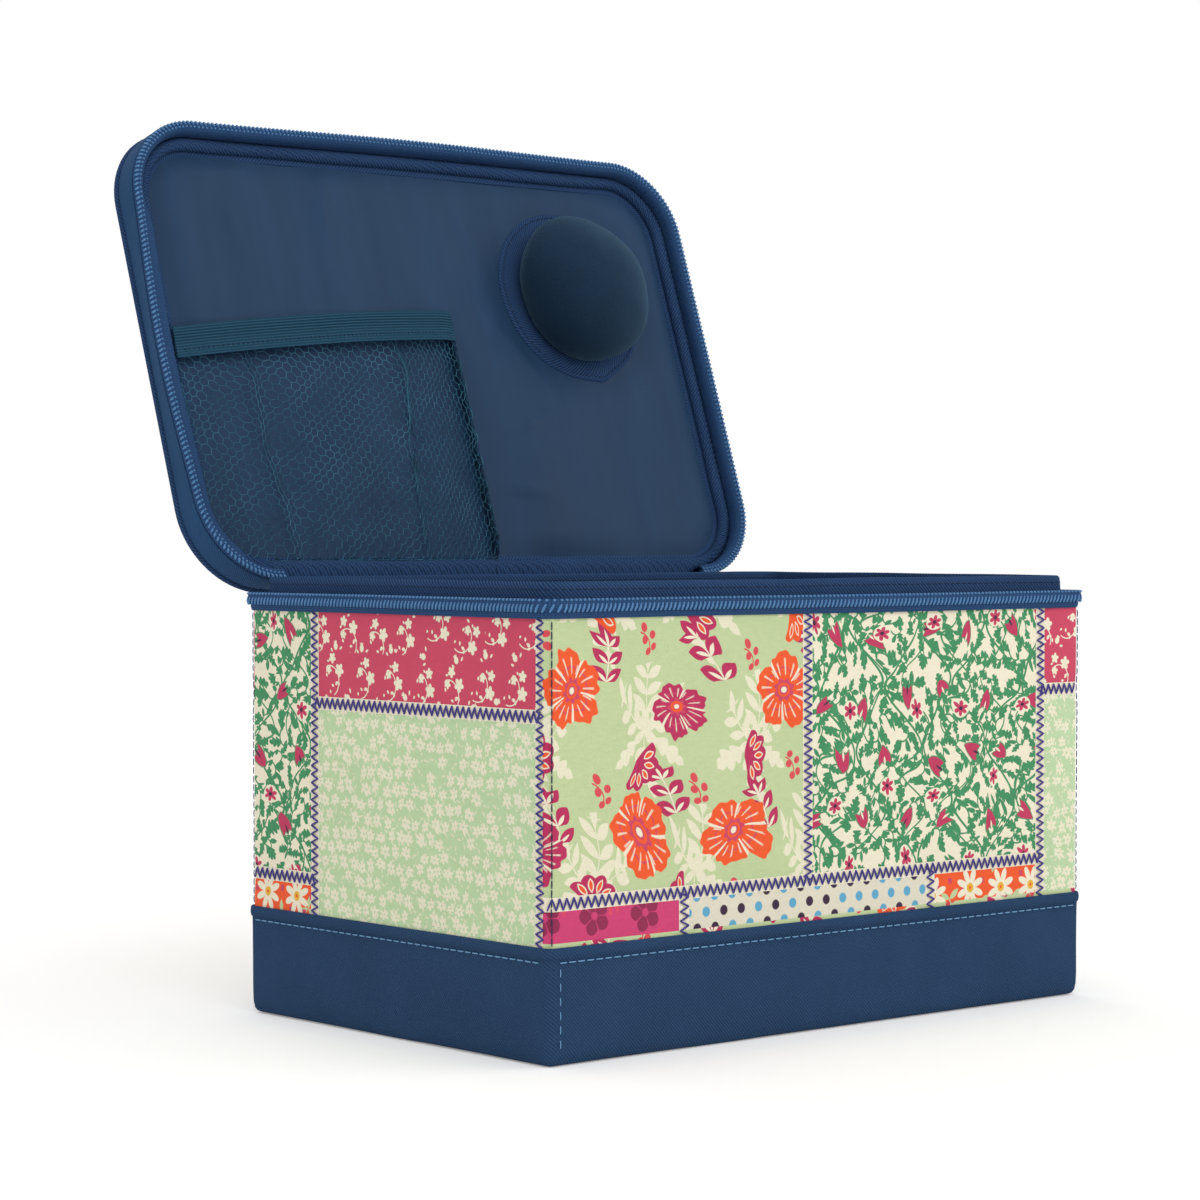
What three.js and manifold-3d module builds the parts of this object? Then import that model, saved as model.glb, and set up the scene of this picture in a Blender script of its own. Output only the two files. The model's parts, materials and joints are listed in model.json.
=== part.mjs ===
// A soft-sided sewing box with a zip-round lid, in millimetres, +Z up.
// The origin is the centre of the underside, +X runs along the long front, and the front faces -Y.
// The lid is drawn closed in a group on its hinge axis, and the group is turned to where the lid
// rests open.
import * as THREE from "three";
import { mergeVertices } from "three/addons/utils/BufferGeometryUtils.js";
import Module from "manifold-3d";

const wasm = await Module();
wasm.setup();

// Driving dimensions of the case
const caseWidth = 300;
const caseDepth = 192;
const printTop = 168;
const bandTop = 44.5;
const wallCorner = 3;

// Layers of cloth and board, and the gaps between them
const clothThick = 1;
const boardThick = 2.5;
const liningThick = 0.8;
const layerGap = 0.3;

// Base
const baseClothThick = 1.2;
const baseInset = 4;
const baseBoardThick = 3;
const insertThick = 3.5;
const insertPlay = 0.6;
const creaseGap = 3;

// Collar above the zip
const collarInset = 2.7;
const collarThick = 2;
const collarCorner = 15;
const collarHeight = 13.2;

// Zip
const tapeRise = 3.7;
const tapeProud = 1.4;
const coilRise = 3.4;
const coilProud = 2.6;
const coilWide = 3;
const zipCorner = 12;
const rowGap = 1.4;

// Hinge
const hingeSetback = 14.4;
const hingeRoll = 2;
const hingeLength = 224;
const stripThick = 2;
const hingePlay = 0.4;
const openAngle = THREE.MathUtils.degToRad(109);

// Lid, which stands over the case by its overhang
const lidOverhang = 8;
const lidCorner = 36;
const lidHeight = 18.4;
const lidHollow = 11.5;
const rimWall = 2.2;
const lidCoilWide = 3.4;
const lidCoilRise = 3.2;
const lidTapeThick = 1.8;
const lidTapeRise = 5;
const lidBoardThick = 1.9;
const pipingThick = 3.3;
const pipingRound = 0.8;
const pipingRise = 2.6;
const bindingWide = 6;
const bindingRise = 5.4;
const bindingRound = 1.2;

// Net pocket in the lid: its left side from the lid's side, its right one from the lid's middle, and its
// heights from the hinged edge
const pocketMargin = 13.4;
const pocketRight = 9.5;
const pocketLow = 12;
const pocketCorner = 20;
const pocketHighLeft = 105;
const pocketHighRight = 118;
const pocketRoom = 6;
const netThick = 0.8;
const netBorder = 3;
const netPitch = 10.4;
const netCord = 1.6;
const elasticWide = 13;
const elasticThick = 1.6;

// Pincushion in the lid, placed from the lid's right side and from its front edge
const cushionAside = 72.5;
const cushionDown = 68.3;
const ringRadius = 42;
const ringThick = 2.2;
const domeRadius = 31.5;
const domeFootRadius = 27;
const domeBelly = 13;
const domeCrown = 24.5;

// Slider and pull tab
const sliderLong = 11;
const sliderPlate = 1.6;
const sliderAbove = 7;
const innerPlate = 1.2;
const runGap = 0.3;
const sliderFromRear = 20;
const crownOut = 4.2;
const crownBar = 1.6;
const crownHigh = 3.4;
const pullLong = 26;
const pullHigh = 7;
const pullThick = 1.4;
const pullPlay = 0.35;

// Faces round a corner, a full turn and the pincushion's crown, and the overrun of a cut
const arcSteps = 5;
const roundSteps = 28;
const crownSteps = 9;
const cutOverrun = 5;

const cloths = {
  print: new THREE.MeshStandardMaterial({ name: "print_cotton", color: 0xc7d5ae, roughness: 0.9 }),
  navy: new THREE.MeshStandardMaterial({ name: "navy_twill", color: 0x2b3e59, roughness: 0.85 }),
  lining: new THREE.MeshStandardMaterial({ name: "lining", color: 0x304865, roughness: 0.55 }),
  board: new THREE.MeshStandardMaterial({ name: "board", color: 0xb8b2a4, roughness: 0.95 }),
  foam: new THREE.MeshStandardMaterial({ name: "foam", color: 0xe8e4d8, roughness: 0.95 }),
  tape: new THREE.MeshStandardMaterial({ name: "zip_tape", color: 0x325a82, roughness: 0.8 }),
  coil: new THREE.MeshStandardMaterial({ name: "zip_coil", color: 0x3f6a94, roughness: 0.35 }),
  net: new THREE.MeshStandardMaterial({ name: "pocket_net", color: 0x2c5268, roughness: 0.7 }),
  elastic: new THREE.MeshStandardMaterial({ name: "elastic", color: 0x1f3d52, roughness: 0.8 }),
  velvet: new THREE.MeshStandardMaterial({ name: "velvet", color: 0x1a2d41, roughness: 0.95 }),
  metal: new THREE.MeshStandardMaterial({ name: "zip_metal", color: 0x35506f, roughness: 0.4 }),
};

// A closed geometry as a solid that can be joined and cut
function solidOf(geometry) {
  const bare = geometry.clone();
  bare.deleteAttribute("normal");
  bare.deleteAttribute("uv");
  const merged = mergeVertices(bare);
  return new wasm.Manifold(
    new wasm.Mesh({
      numProp: 3,
      vertProperties: merged.attributes.position.array,
      triVerts: new Uint32Array(merged.index.array),
    }),
  );
}

function geometryOf(solid) {
  const mesh = solid.getMesh();
  const geometry = new THREE.BufferGeometry();
  const corners = new Float32Array(mesh.vertProperties);
  geometry.setAttribute("position", new THREE.BufferAttribute(corners, mesh.numProp));
  geometry.setIndex(new THREE.BufferAttribute(new Uint32Array(mesh.triVerts), 1));
  return geometry;
}

function piece(parent, name, geometry, material) {
  const mesh = new THREE.Mesh(geometry, material);
  mesh.name = name;
  parent.add(mesh);
}

// A box given by its lowest and highest corners
function block(low, high) {
  const [x, y, z] = low;
  const [right, back, top] = high;
  const box = new THREE.BoxGeometry(right - x, back - y, top - z);
  return box.translate((x + right) / 2, (y + back) / 2, (z + top) / 2);
}

// A rectangle with round corners about a middle line x = 0
function roundedRect(path, halfWidth, halfDepth, radius, middleY = 0) {
  const x = halfWidth - radius;
  const y = halfDepth - radius;
  const quarter = Math.PI / 2;
  path.moveTo(halfWidth, middleY - y);
  path.absarc(x, middleY + y, radius, 0, quarter);
  path.absarc(-x, middleY + y, radius, quarter, 2 * quarter);
  path.absarc(-x, middleY - y, radius, 2 * quarter, 3 * quarter);
  path.absarc(x, middleY - y, radius, 3 * quarter, 4 * quarter);
  return path;
}

function extrude(shape, low, high, round = 0) {
  const geometry = new THREE.ExtrudeGeometry(shape, {
    depth: high - low - 2 * round,
    curveSegments: arcSteps,
    bevelEnabled: round > 0,
    bevelThickness: round,
    bevelSize: round,
    bevelOffset: -round,
    bevelSegments: 1,
  });
  return geometry.translate(0, 0, low + round);
}

// A sheet with round corners, between two heights
function sheet(halfWidth, halfDepth, radius, low, high, middleY = 0) {
  return extrude(roundedRect(new THREE.Shape(), halfWidth, halfDepth, radius, middleY), low, high);
}

// A band that runs round a rectangle with round corners
function hoop(outer, inner, low, high, middleY = 0, round = 0) {
  const shape = roundedRect(new THREE.Shape(), outer.x, outer.y, outer.radius, middleY);
  shape.holes.push(roundedRect(new THREE.Path(), inner.x, inner.y, inner.radius, middleY));
  return extrude(shape, low, high, round);
}

// The same band, open along the hinge
function openHoop(outer, inner, low, high, middleY = 0) {
  const half = hingeLength / 2 + layerGap;
  const back = middleY + outer.y + cutOverrun;
  const gap = block([-half, middleY, low - cutOverrun], [half, back, high + cutOverrun]);
  return geometryOf(solidOf(hoop(outer, inner, low, high, middleY)).subtract(solidOf(gap)));
}

function ringSize(x, y, radius) {
  return { x, y, radius };
}

const group = new THREE.Group();
const caseGroup = new THREE.Group();
group.add(caseGroup);

// Places in the wall, counted inwards from its outer face
const halfWidth = caseWidth / 2;
const halfDepth = caseDepth / 2;
const boardOut = clothThick + layerGap;
const boardIn = boardOut + boardThick;
const liningOut = boardIn + layerGap;
const wallThick = liningOut + liningThick;
const baseBoardLow = baseClothThick + layerGap;
const wallLow = baseBoardLow + baseBoardThick + layerGap;

// Base: the cloth underside, the sewn-in board, and the loose covered board that lies inside
piece(
  caseGroup,
  "base_cover",
  sheet(halfWidth - baseInset, halfDepth - baseInset, wallCorner, 0, baseClothThick),
  cloths.navy,
);
const baseBoardX = halfWidth - boardOut;
const baseBoardY = halfDepth - boardOut;
const baseBoardHigh = baseBoardLow + baseBoardThick;
piece(
  caseGroup,
  "base_board",
  sheet(baseBoardX, baseBoardY, wallCorner, baseBoardLow, baseBoardHigh),
  cloths.board,
);
const insertX = halfWidth - wallThick - insertPlay;
const insertY = halfDepth - wallThick - insertPlay;
piece(
  caseGroup,
  "base_insert",
  block([-insertX, -insertY, wallLow], [insertX, insertY, wallLow + insertThick]),
  cloths.lining,
);

// The navy band round the foot of the walls
piece(
  caseGroup,
  "base_band",
  hoop(
    ringSize(halfWidth, halfDepth, wallCorner),
    ringSize(halfWidth - clothThick, halfDepth - clothThick, wallCorner - clothThick),
    baseBoardLow,
    bandTop,
  ),
  cloths.navy,
);

// Printed cloth: the short panels are flat, and the long ones turn both corners
const printLow = bandTop + layerGap;
const seamY = halfDepth - wallCorner - layerGap;
for (const [name, side] of [["left", -1], ["right", 1]]) {
  const faces = [side * halfWidth, side * (halfWidth - clothThick)].sort((a, b) => a - b);
  const panel = block([faces[0], -seamY, printLow], [faces[1], seamY, printTop]);
  piece(caseGroup, `${name}_print_panel`, panel, cloths.print);
}

function cornerPanel() {
  const x = halfWidth - wallCorner;
  const y = halfDepth - wallCorner;
  const inner = wallCorner - clothThick;
  const quarter = Math.PI / 2;
  const shape = new THREE.Shape();
  shape.moveTo(halfWidth, y);
  shape.absarc(x, y, wallCorner, 0, quarter);
  shape.absarc(-x, y, wallCorner, quarter, 2 * quarter);
  shape.lineTo(-halfWidth + clothThick, y);
  shape.absarc(-x, y, inner, 2 * quarter, quarter, true);
  shape.absarc(x, y, inner, quarter, 0, true);
  return extrude(shape, printLow, printTop);
}

piece(caseGroup, "rear_print_panel", cornerPanel(), cloths.print);
piece(caseGroup, "front_print_panel", cornerPanel().rotateZ(Math.PI), cloths.print);

// Stiff boards: whole in the long walls, halved by a crease in the short ones
const longBoardX = halfWidth - boardIn - layerGap;
for (const [name, side] of [["front", -1], ["rear", 1]]) {
  const faces = [side * (halfDepth - boardOut), side * (halfDepth - boardIn)].sort((a, b) => a - b);
  const board = block([-longBoardX, faces[0], wallLow], [longBoardX, faces[1], printTop]);
  piece(caseGroup, `${name}_board`, board, cloths.board);
}
for (const [name, side] of [["left", -1], ["right", 1]]) {
  const faces = [side * (halfWidth - boardOut), side * (halfWidth - boardIn)].sort((a, b) => a - b);
  const end = halfDepth - wallCorner;
  for (const [half, low, high] of [["front", -end, -creaseGap / 2], ["rear", creaseGap / 2, end]]) {
    const board = block([faces[0], low, wallLow], [faces[1], high, printTop]);
    piece(caseGroup, `${name}_board_${half}_half`, board, cloths.board);
  }
}

// Lining of the four walls
const liningX = halfWidth - liningOut;
const liningY = halfDepth - liningOut;
for (const [name, side] of [["front", -1], ["rear", 1]]) {
  const faces = [side * liningY, side * (liningY - liningThick)].sort((a, b) => a - b);
  const lining = block([-liningX, faces[0], wallLow], [liningX, faces[1], printTop]);
  piece(caseGroup, `${name}_lining`, lining, cloths.lining);
}
const sideLiningY = liningY - liningThick - layerGap;
for (const [name, side] of [["left", -1], ["right", 1]]) {
  const faces = [side * liningX, side * (liningX - liningThick)].sort((a, b) => a - b);
  const lining = block([faces[0], -sideLiningY, wallLow], [faces[1], sideLiningY, printTop]);
  piece(caseGroup, `${name}_lining`, lining, cloths.lining);
}

// Collar that stands above the zip: four straight lengths, and four corners sewn between them
const trimLow = printTop + layerGap;
const collarX = halfWidth - collarInset;
const collarY = halfDepth - collarInset;
const collarTop = trimLow + collarHeight;
const bendX = collarX - collarCorner;
const bendY = collarY - collarCorner;
for (const [name, side] of [["front", -1], ["rear", 1]]) {
  const faces = [side * collarY, side * (collarY - collarThick)].sort((a, b) => a - b);
  const end = bendX - layerGap;
  const length = block([-end, faces[0], trimLow], [end, faces[1], collarTop]);
  piece(caseGroup, `${name}_collar`, length, cloths.navy);
}
for (const [name, side] of [["left", -1], ["right", 1]]) {
  const faces = [side * collarX, side * (collarX - collarThick)].sort((a, b) => a - b);
  const end = bendY - layerGap;
  const length = block([faces[0], -end, trimLow], [faces[1], end, collarTop]);
  piece(caseGroup, `${name}_collar`, length, cloths.navy);
}

function collarBend(turn) {
  const quarter = Math.PI / 2;
  const shape = new THREE.Shape();
  shape.moveTo(collarCorner, 0);
  shape.absarc(0, 0, collarCorner, 0, quarter);
  shape.absarc(0, 0, collarCorner - collarThick, quarter, 0, true);
  return extrude(shape, trimLow, collarTop).rotateZ(turn * quarter);
}

const bends = [["rear_right", 1, 1], ["rear_left", -1, 1], ["front_left", -1, -1], ["front_right", 1, -1]];
bends.forEach(([name, right, back], turn) => {
  piece(caseGroup, `${name}_collar`, collarBend(turn).translate(right * bendX, back * bendY, 0), cloths.navy);
});

// The zip's lower half round the collar
const tapeTop = trimLow + tapeRise;
piece(
  caseGroup,
  "case_zip_tape",
  openHoop(
    ringSize(halfWidth + tapeProud, halfDepth + tapeProud, zipCorner),
    ringSize(collarX + layerGap, collarY + layerGap, collarCorner),
    trimLow,
    tapeTop,
  ),
  cloths.tape,
);
const coilLow = tapeTop + layerGap;
const coilTop = coilLow + coilRise;
const coilX = halfWidth + coilProud;
const coilY = halfDepth + coilProud;
piece(
  caseGroup,
  "case_zip_coil",
  openHoop(
    ringSize(coilX, coilY, zipCorner),
    ringSize(coilX - coilWide, coilY - coilWide, zipCorner - coilWide),
    coilLow,
    coilTop,
  ),
  cloths.coil,
);

// Hinge strip: sewn in at the rear wall, it ends in a roll on the axis that the lid turns about
const lidLow = coilTop + rowGap;
const lidBack = hingeRoll + hingePlay;
const lidDrop = hingeRoll / 2;
const axisY = halfDepth + hingeSetback;
const axisZ = lidLow + lidDrop;
function hingeStrip() {
  const inner = collarY + layerGap;
  const wall = halfDepth;
  const top = coilTop - layerGap;
  const low = top - stripThick;
  const lean = -Math.PI / 6;
  const shape = new THREE.Shape();
  shape.moveTo(inner, trimLow);
  shape.lineTo(wall, trimLow);
  shape.lineTo(wall, low);
  shape.lineTo(axisY - hingePlay, low);
  shape.absarc(axisY, axisZ, hingeRoll, lean, Math.PI);
  shape.lineTo(axisY - hingeRoll, top);
  shape.lineTo(inner, top);
  const geometry = extrude(shape, -hingeLength / 2, hingeLength / 2);
  // The outline is drawn in Y and Z and runs along X.
  const turn = new THREE.Matrix4().makeBasis(
    new THREE.Vector3(0, 1, 0),
    new THREE.Vector3(0, 0, 1),
    new THREE.Vector3(1, 0, 0),
  );
  return geometry.applyMatrix4(turn);
}
piece(caseGroup, "hinge_strip", hingeStrip(), cloths.navy);

// Lid, in its own group on the hinge axis; depths run up from its open face
const lidGroup = new THREE.Group();
lidGroup.position.set(0, axisY, axisZ);
lidGroup.rotation.x = -openAngle;
group.add(lidGroup);

const lidX = halfWidth + lidOverhang;
const lidY = (caseDepth + lidOverhang + hingeSetback - lidBack) / 2;
const lidMiddle = -lidBack - lidY;
const lidFace = -lidDrop;

function lidRing(inset) {
  return ringSize(lidX - inset, lidY - inset, lidCorner - inset);
}

function lidHoop(outset, inset, low, high, round = 0) {
  return hoop(lidRing(outset), lidRing(inset), lidFace + low, lidFace + high, lidMiddle, round);
}

function lidOpenHoop(outset, inset, low, high) {
  return openHoop(lidRing(outset), lidRing(inset), lidFace + low, lidFace + high, lidMiddle);
}

function lidSheet(inset, low, high) {
  const ring = lidRing(inset);
  return sheet(ring.x, ring.y, ring.radius, lidFace + low, lidFace + high, lidMiddle);
}

const rimLow = lidCoilRise + layerGap;
const pipingLow = lidHeight - pipingRise;
const rimHigh = pipingLow - layerGap;
piece(lidGroup, "lid_zip_coil", lidOpenHoop(0, lidCoilWide, 0, lidCoilRise), cloths.coil);
piece(lidGroup, "lid_rim_band", lidHoop(0, rimWall, rimLow, rimHigh), cloths.navy);
const tapeIn = rimWall + layerGap;
const lidTapeHigh = rimLow + lidTapeRise;
piece(
  lidGroup,
  "lid_zip_tape",
  lidOpenHoop(tapeIn, tapeIn + lidTapeThick, rimLow, lidTapeHigh),
  cloths.tape,
);
piece(
  lidGroup,
  "lid_piping",
  lidHoop(-pipingRound, pipingThick - pipingRound, pipingLow, lidHeight, pipingRound),
  cloths.navy,
);
const fillingIn = tapeIn;
const boardHigh = lidHollow + liningThick + layerGap + lidBoardThick;
const coverLow = lidHeight - clothThick - layerGap;
piece(lidGroup, "lid_lining", lidSheet(fillingIn, lidHollow, lidHollow + liningThick), cloths.lining);
piece(
  lidGroup,
  "lid_board",
  lidSheet(fillingIn, lidHollow + liningThick + layerGap, boardHigh),
  cloths.board,
);
const foamIn = pipingThick;
piece(lidGroup, "lid_foam", lidSheet(foamIn, boardHigh + layerGap, coverLow - layerGap), cloths.foam);
piece(lidGroup, "lid_cover", lidSheet(foamIn, coverLow, coverLow + clothThick), cloths.print);
const bindingOut = tapeIn + lidTapeThick + layerGap;
const bindingHigh = lidHollow - layerGap;
piece(
  lidGroup,
  "lid_binding",
  lidHoop(bindingOut, bindingOut + bindingWide, bindingHigh - bindingRise, bindingHigh, bindingRound),
  cloths.lining,
);

// Net pocket: a flat net held off the lining by a border on three sides, with elastic along its mouth
const netHigh = lidHollow - pocketRoom;
const netLow = netHigh - netThick;
const pocketLeft = lidX - pocketMargin;

function up(distance) {
  return -lidBack - distance;
}

function pocketTop(x) {
  const along = (x + pocketLeft) / (pocketLeft + pocketRight);
  return pocketHighLeft + (pocketHighRight - pocketHighLeft) * along;
}

// Whether a place keeps some room from the pocket's mouth and from its rounded corner
function inPocket(x, height, room) {
  const aside = -pocketLeft + pocketCorner - x;
  const under = pocketLow + pocketCorner - height;
  const roundedOff = aside > 0 && under > 0 && Math.hypot(aside, under) + room > pocketCorner;
  return height + room < pocketTop(x) && !roundedOff;
}

// The pocket's outer corner, from its lower edge up to its left side, with its lower right corner
function pocketFoot(shape) {
  const x = -pocketLeft + pocketCorner;
  shape.moveTo(pocketRight, up(pocketLow));
  shape.lineTo(x, up(pocketLow));
  shape.absarc(x, up(pocketLow + pocketCorner), pocketCorner, Math.PI / 2, Math.PI);
}

function netGeometry() {
  const shape = new THREE.Shape();
  pocketFoot(shape);
  shape.lineTo(-pocketLeft, up(pocketTop(-pocketLeft)));
  shape.lineTo(pocketRight, up(pocketTop(pocketRight)));
  shape.closePath();
  let net = solidOf(extrude(shape, lidFace + netLow, lidFace + netHigh));
  const radius = (netPitch - netCord) / Math.sqrt(3);
  const rowStep = (netPitch * Math.sqrt(3)) / 2;
  const room = netBorder + netPitch / 2;
  for (let row = 0; pocketLow + room + row * rowStep < pocketHighRight; row++) {
    const middle = pocketLow + room + row * rowStep;
    const shift = (row % 2) * (netPitch / 2);
    for (let x = -pocketLeft + room + shift; x < pocketRight - room; x += netPitch) {
      if (inPocket(x, middle, room)) {
        const hole = new THREE.CylinderGeometry(radius, radius, netThick + 2 * cutOverrun, 6);
        hole.rotateX(Math.PI / 2).translate(x, up(middle), lidFace + netHigh);
        net = net.subtract(solidOf(hole));
      }
    }
  }
  return geometryOf(net);
}
piece(lidGroup, "pocket_net", netGeometry(), cloths.net);

function pocketBorder() {
  const [left, right] = [-pocketLeft, pocketRight];
  const [innerLeft, innerRight] = [left + netBorder, right - netBorder];
  const centre = [left + pocketCorner, up(pocketLow + pocketCorner)];
  const shape = new THREE.Shape();
  pocketFoot(shape);
  shape.lineTo(left, up(pocketTop(left)));
  shape.lineTo(innerLeft, up(pocketTop(innerLeft)));
  shape.absarc(centre[0], centre[1], pocketCorner - netBorder, Math.PI, Math.PI / 2, true);
  shape.lineTo(innerRight, up(pocketLow + netBorder));
  shape.lineTo(innerRight, up(pocketTop(innerRight)));
  shape.lineTo(right, up(pocketTop(right)));
  shape.closePath();
  return extrude(shape, lidFace + netHigh + layerGap, lidFace + lidHollow - layerGap);
}
piece(lidGroup, "pocket_border", pocketBorder(), cloths.net);

function pocketElastic() {
  const shape = new THREE.Shape();
  const start = layerGap;
  shape.moveTo(-pocketLeft, up(pocketTop(-pocketLeft) + start));
  shape.lineTo(-pocketLeft, up(pocketTop(-pocketLeft) + elasticWide));
  shape.lineTo(pocketRight, up(pocketTop(pocketRight) + elasticWide));
  shape.lineTo(pocketRight, up(pocketTop(pocketRight) + start));
  shape.closePath();
  return extrude(shape, lidFace + netHigh - elasticThick, lidFace + netHigh);
}
piece(lidGroup, "pocket_elastic", pocketElastic(), cloths.elastic);

// Pincushion: a sewn-down ring with a crowned dome, turned about an axis square to the lining
const cushionX = lidX - cushionAside;
const cushionUp = 2 * lidY - cushionDown;
function onLining(geometry, depth) {
  // A lathe turns about Y, and the dome grows out of the lid's open face.
  return geometry.rotateX(-Math.PI / 2).translate(cushionX, up(cushionUp), lidFace + depth);
}

const ringDepth = lidHollow - layerGap;
const ringOutline = [
  new THREE.Vector2(0, 0),
  new THREE.Vector2(ringRadius - ringThick / 2, 0),
  new THREE.Vector2(ringRadius, ringThick / 2),
  new THREE.Vector2(ringRadius - ringThick / 2, ringThick),
  new THREE.Vector2(0, ringThick),
];
piece(
  lidGroup,
  "pincushion_ring",
  onLining(new THREE.LatheGeometry(ringOutline, roundSteps), ringDepth),
  cloths.lining,
);

const footTurn = -Math.acos(domeFootRadius / domeRadius);
const domeOutline = [new THREE.Vector2(0, 0), new THREE.Vector2(domeFootRadius, 0)];
for (let step = 1; step < crownSteps; step++) {
  const turn = footTurn + ((Math.PI / 2 - footTurn) * step) / crownSteps;
  const below = turn < 0 ? domeBelly / Math.sin(-footTurn) : domeCrown;
  domeOutline.push(new THREE.Vector2(domeRadius * Math.cos(turn), domeBelly + below * Math.sin(turn)));
}
domeOutline.push(new THREE.Vector2(0, domeBelly + domeCrown));
piece(
  lidGroup,
  "pincushion_dome",
  onLining(new THREE.LatheGeometry(domeOutline, roundSteps), ringDepth - ringThick - layerGap),
  cloths.velvet,
);

// Slider on the lower half of the zip: an inner plate, a neck over the coil, and an outer plate
const sliderGroup = new THREE.Group();
sliderGroup.position.set(0, halfDepth - sliderFromRear, 0);
group.add(sliderGroup);

const sliderHalf = sliderLong / 2;
const sliderLow = coilLow;
const neckLow = coilTop + runGap;
const neckHigh = lidLow - runGap;
const coilInner = coilX - coilWide;
const sliderIn = coilInner - runGap - innerPlate;
const sliderOut = lidX + pipingRound + runGap;
const sliderTop = lidLow + sliderAbove;
const plateOut = sliderOut + sliderPlate;
const innerPart = block([sliderIn, -sliderHalf, sliderLow], [sliderIn + innerPlate, sliderHalf, neckHigh]);
const neckPart = block([sliderIn, -sliderHalf, neckLow], [plateOut, sliderHalf, neckHigh]);
const lowerPart = block([coilX + runGap, -sliderHalf, sliderLow], [plateOut, sliderHalf, neckHigh]);
const upperPart = block([sliderOut, -sliderHalf, sliderLow], [plateOut, sliderHalf, sliderTop]);

// The crown is a small bridge on the outer plate that the pull tab is held by
const crownMiddle = (sliderLow + sliderTop) / 2;
const crownOuter = plateOut + crownOut;
const crownEnd = crownBar + pullThick + 2 * pullPlay;
const crownPart = block(
  [plateOut - sliderPlate / 2, -crownEnd, crownMiddle - crownHigh / 2],
  [crownOuter, crownEnd, crownMiddle + crownHigh / 2],
);
const crownHole = block(
  [plateOut, -crownEnd + crownBar, crownMiddle - crownHigh],
  [crownOuter - crownBar, crownEnd - crownBar, crownMiddle + crownHigh],
);
const sliderSolid = solidOf(innerPart)
  .add(solidOf(neckPart))
  .add(solidOf(lowerPart))
  .add(solidOf(upperPart))
  .add(solidOf(crownPart).subtract(solidOf(crownHole)));
piece(sliderGroup, "zip_slider", geometryOf(sliderSolid), cloths.metal);

// Pull tab: its bar passes through the crown, and its eye is long enough to swing round the crown
const pullX = plateOut + (crownOut - crownBar) / 2;
const pullGroup = new THREE.Group();
pullGroup.position.set(pullX, 0, crownMiddle);
sliderGroup.add(pullGroup);
const eyeLow = crownHigh / 2 + pullPlay;
const eyeHalf = pullThick / 2;
const pullHalf = Math.max(pullHigh / 2, eyeLow + eyeHalf);
const eyeEnd = Math.hypot(crownOuter - pullX, crownEnd) + pullPlay;
const pullBar = block([-eyeHalf, -eyeHalf, -pullHalf], [eyeHalf, eyeHalf, pullHalf]);
const pullPlate = block([-eyeHalf, -eyeHalf, -pullHalf], [eyeHalf, pullLong, pullHalf]);
const pullEye = block([-pullThick, eyeHalf, -eyeLow], [pullThick, eyeEnd, eyeLow]);
const pullSolid = solidOf(pullPlate).subtract(solidOf(pullEye)).add(solidOf(pullBar));
piece(pullGroup, "pull_tab", geometryOf(pullSolid), cloths.metal);

export default group;
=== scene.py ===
"""The looks of a soft-sided, zip-round sewing box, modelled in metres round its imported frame."""

import json
import math

import bmesh
import bpy
from mathutils import Matrix, Vector, noise


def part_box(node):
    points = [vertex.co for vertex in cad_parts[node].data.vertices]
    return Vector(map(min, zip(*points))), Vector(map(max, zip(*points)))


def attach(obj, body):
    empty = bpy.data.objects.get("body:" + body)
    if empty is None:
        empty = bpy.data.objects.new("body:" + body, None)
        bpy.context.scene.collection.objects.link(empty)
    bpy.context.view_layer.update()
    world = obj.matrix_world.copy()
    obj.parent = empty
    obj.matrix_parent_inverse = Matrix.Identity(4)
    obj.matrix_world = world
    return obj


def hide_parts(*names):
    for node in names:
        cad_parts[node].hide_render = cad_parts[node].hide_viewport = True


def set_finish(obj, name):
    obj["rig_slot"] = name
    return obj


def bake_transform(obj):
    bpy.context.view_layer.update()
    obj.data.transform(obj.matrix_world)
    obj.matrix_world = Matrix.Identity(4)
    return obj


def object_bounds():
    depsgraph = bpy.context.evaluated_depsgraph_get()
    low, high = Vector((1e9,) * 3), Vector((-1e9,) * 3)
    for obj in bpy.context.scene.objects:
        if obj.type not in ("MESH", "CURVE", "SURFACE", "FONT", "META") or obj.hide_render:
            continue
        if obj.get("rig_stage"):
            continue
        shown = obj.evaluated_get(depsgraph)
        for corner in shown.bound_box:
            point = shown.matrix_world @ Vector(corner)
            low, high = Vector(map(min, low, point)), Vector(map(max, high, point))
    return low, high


bl_info = {
    "name": "Sewing Box",
    "version": (1, 0, 0),
    "blender": (4, 5, 0),
    "location": "View3D > Sidebar > Sewing Box",
    "description": "Models a zip-round sewing box with printed walls and a lined lid",
    "category": "Add Mesh",
}

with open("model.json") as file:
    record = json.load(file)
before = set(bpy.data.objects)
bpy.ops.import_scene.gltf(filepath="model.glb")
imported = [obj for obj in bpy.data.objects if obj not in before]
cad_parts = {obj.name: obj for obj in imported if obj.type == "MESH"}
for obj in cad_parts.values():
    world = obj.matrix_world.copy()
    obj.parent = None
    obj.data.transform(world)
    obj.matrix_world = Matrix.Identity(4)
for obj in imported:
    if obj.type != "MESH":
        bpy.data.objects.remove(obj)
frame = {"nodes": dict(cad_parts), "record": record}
CAD_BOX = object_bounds()

MM = 0.001
TURN = 2 * math.pi

# The hinge, and the lid's places with the lid closed
HINGE = next(joint for joint in frame["record"]["behaviour"]["joints"] if joint["name"] == "lid_hinge")
AXIS = Vector(HINGE["pos_m"])
OPEN = math.radians(109)
TURNED = Matrix.Translation(AXIS) @ Matrix.Rotation(-OPEN, 4, "X")


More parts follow.
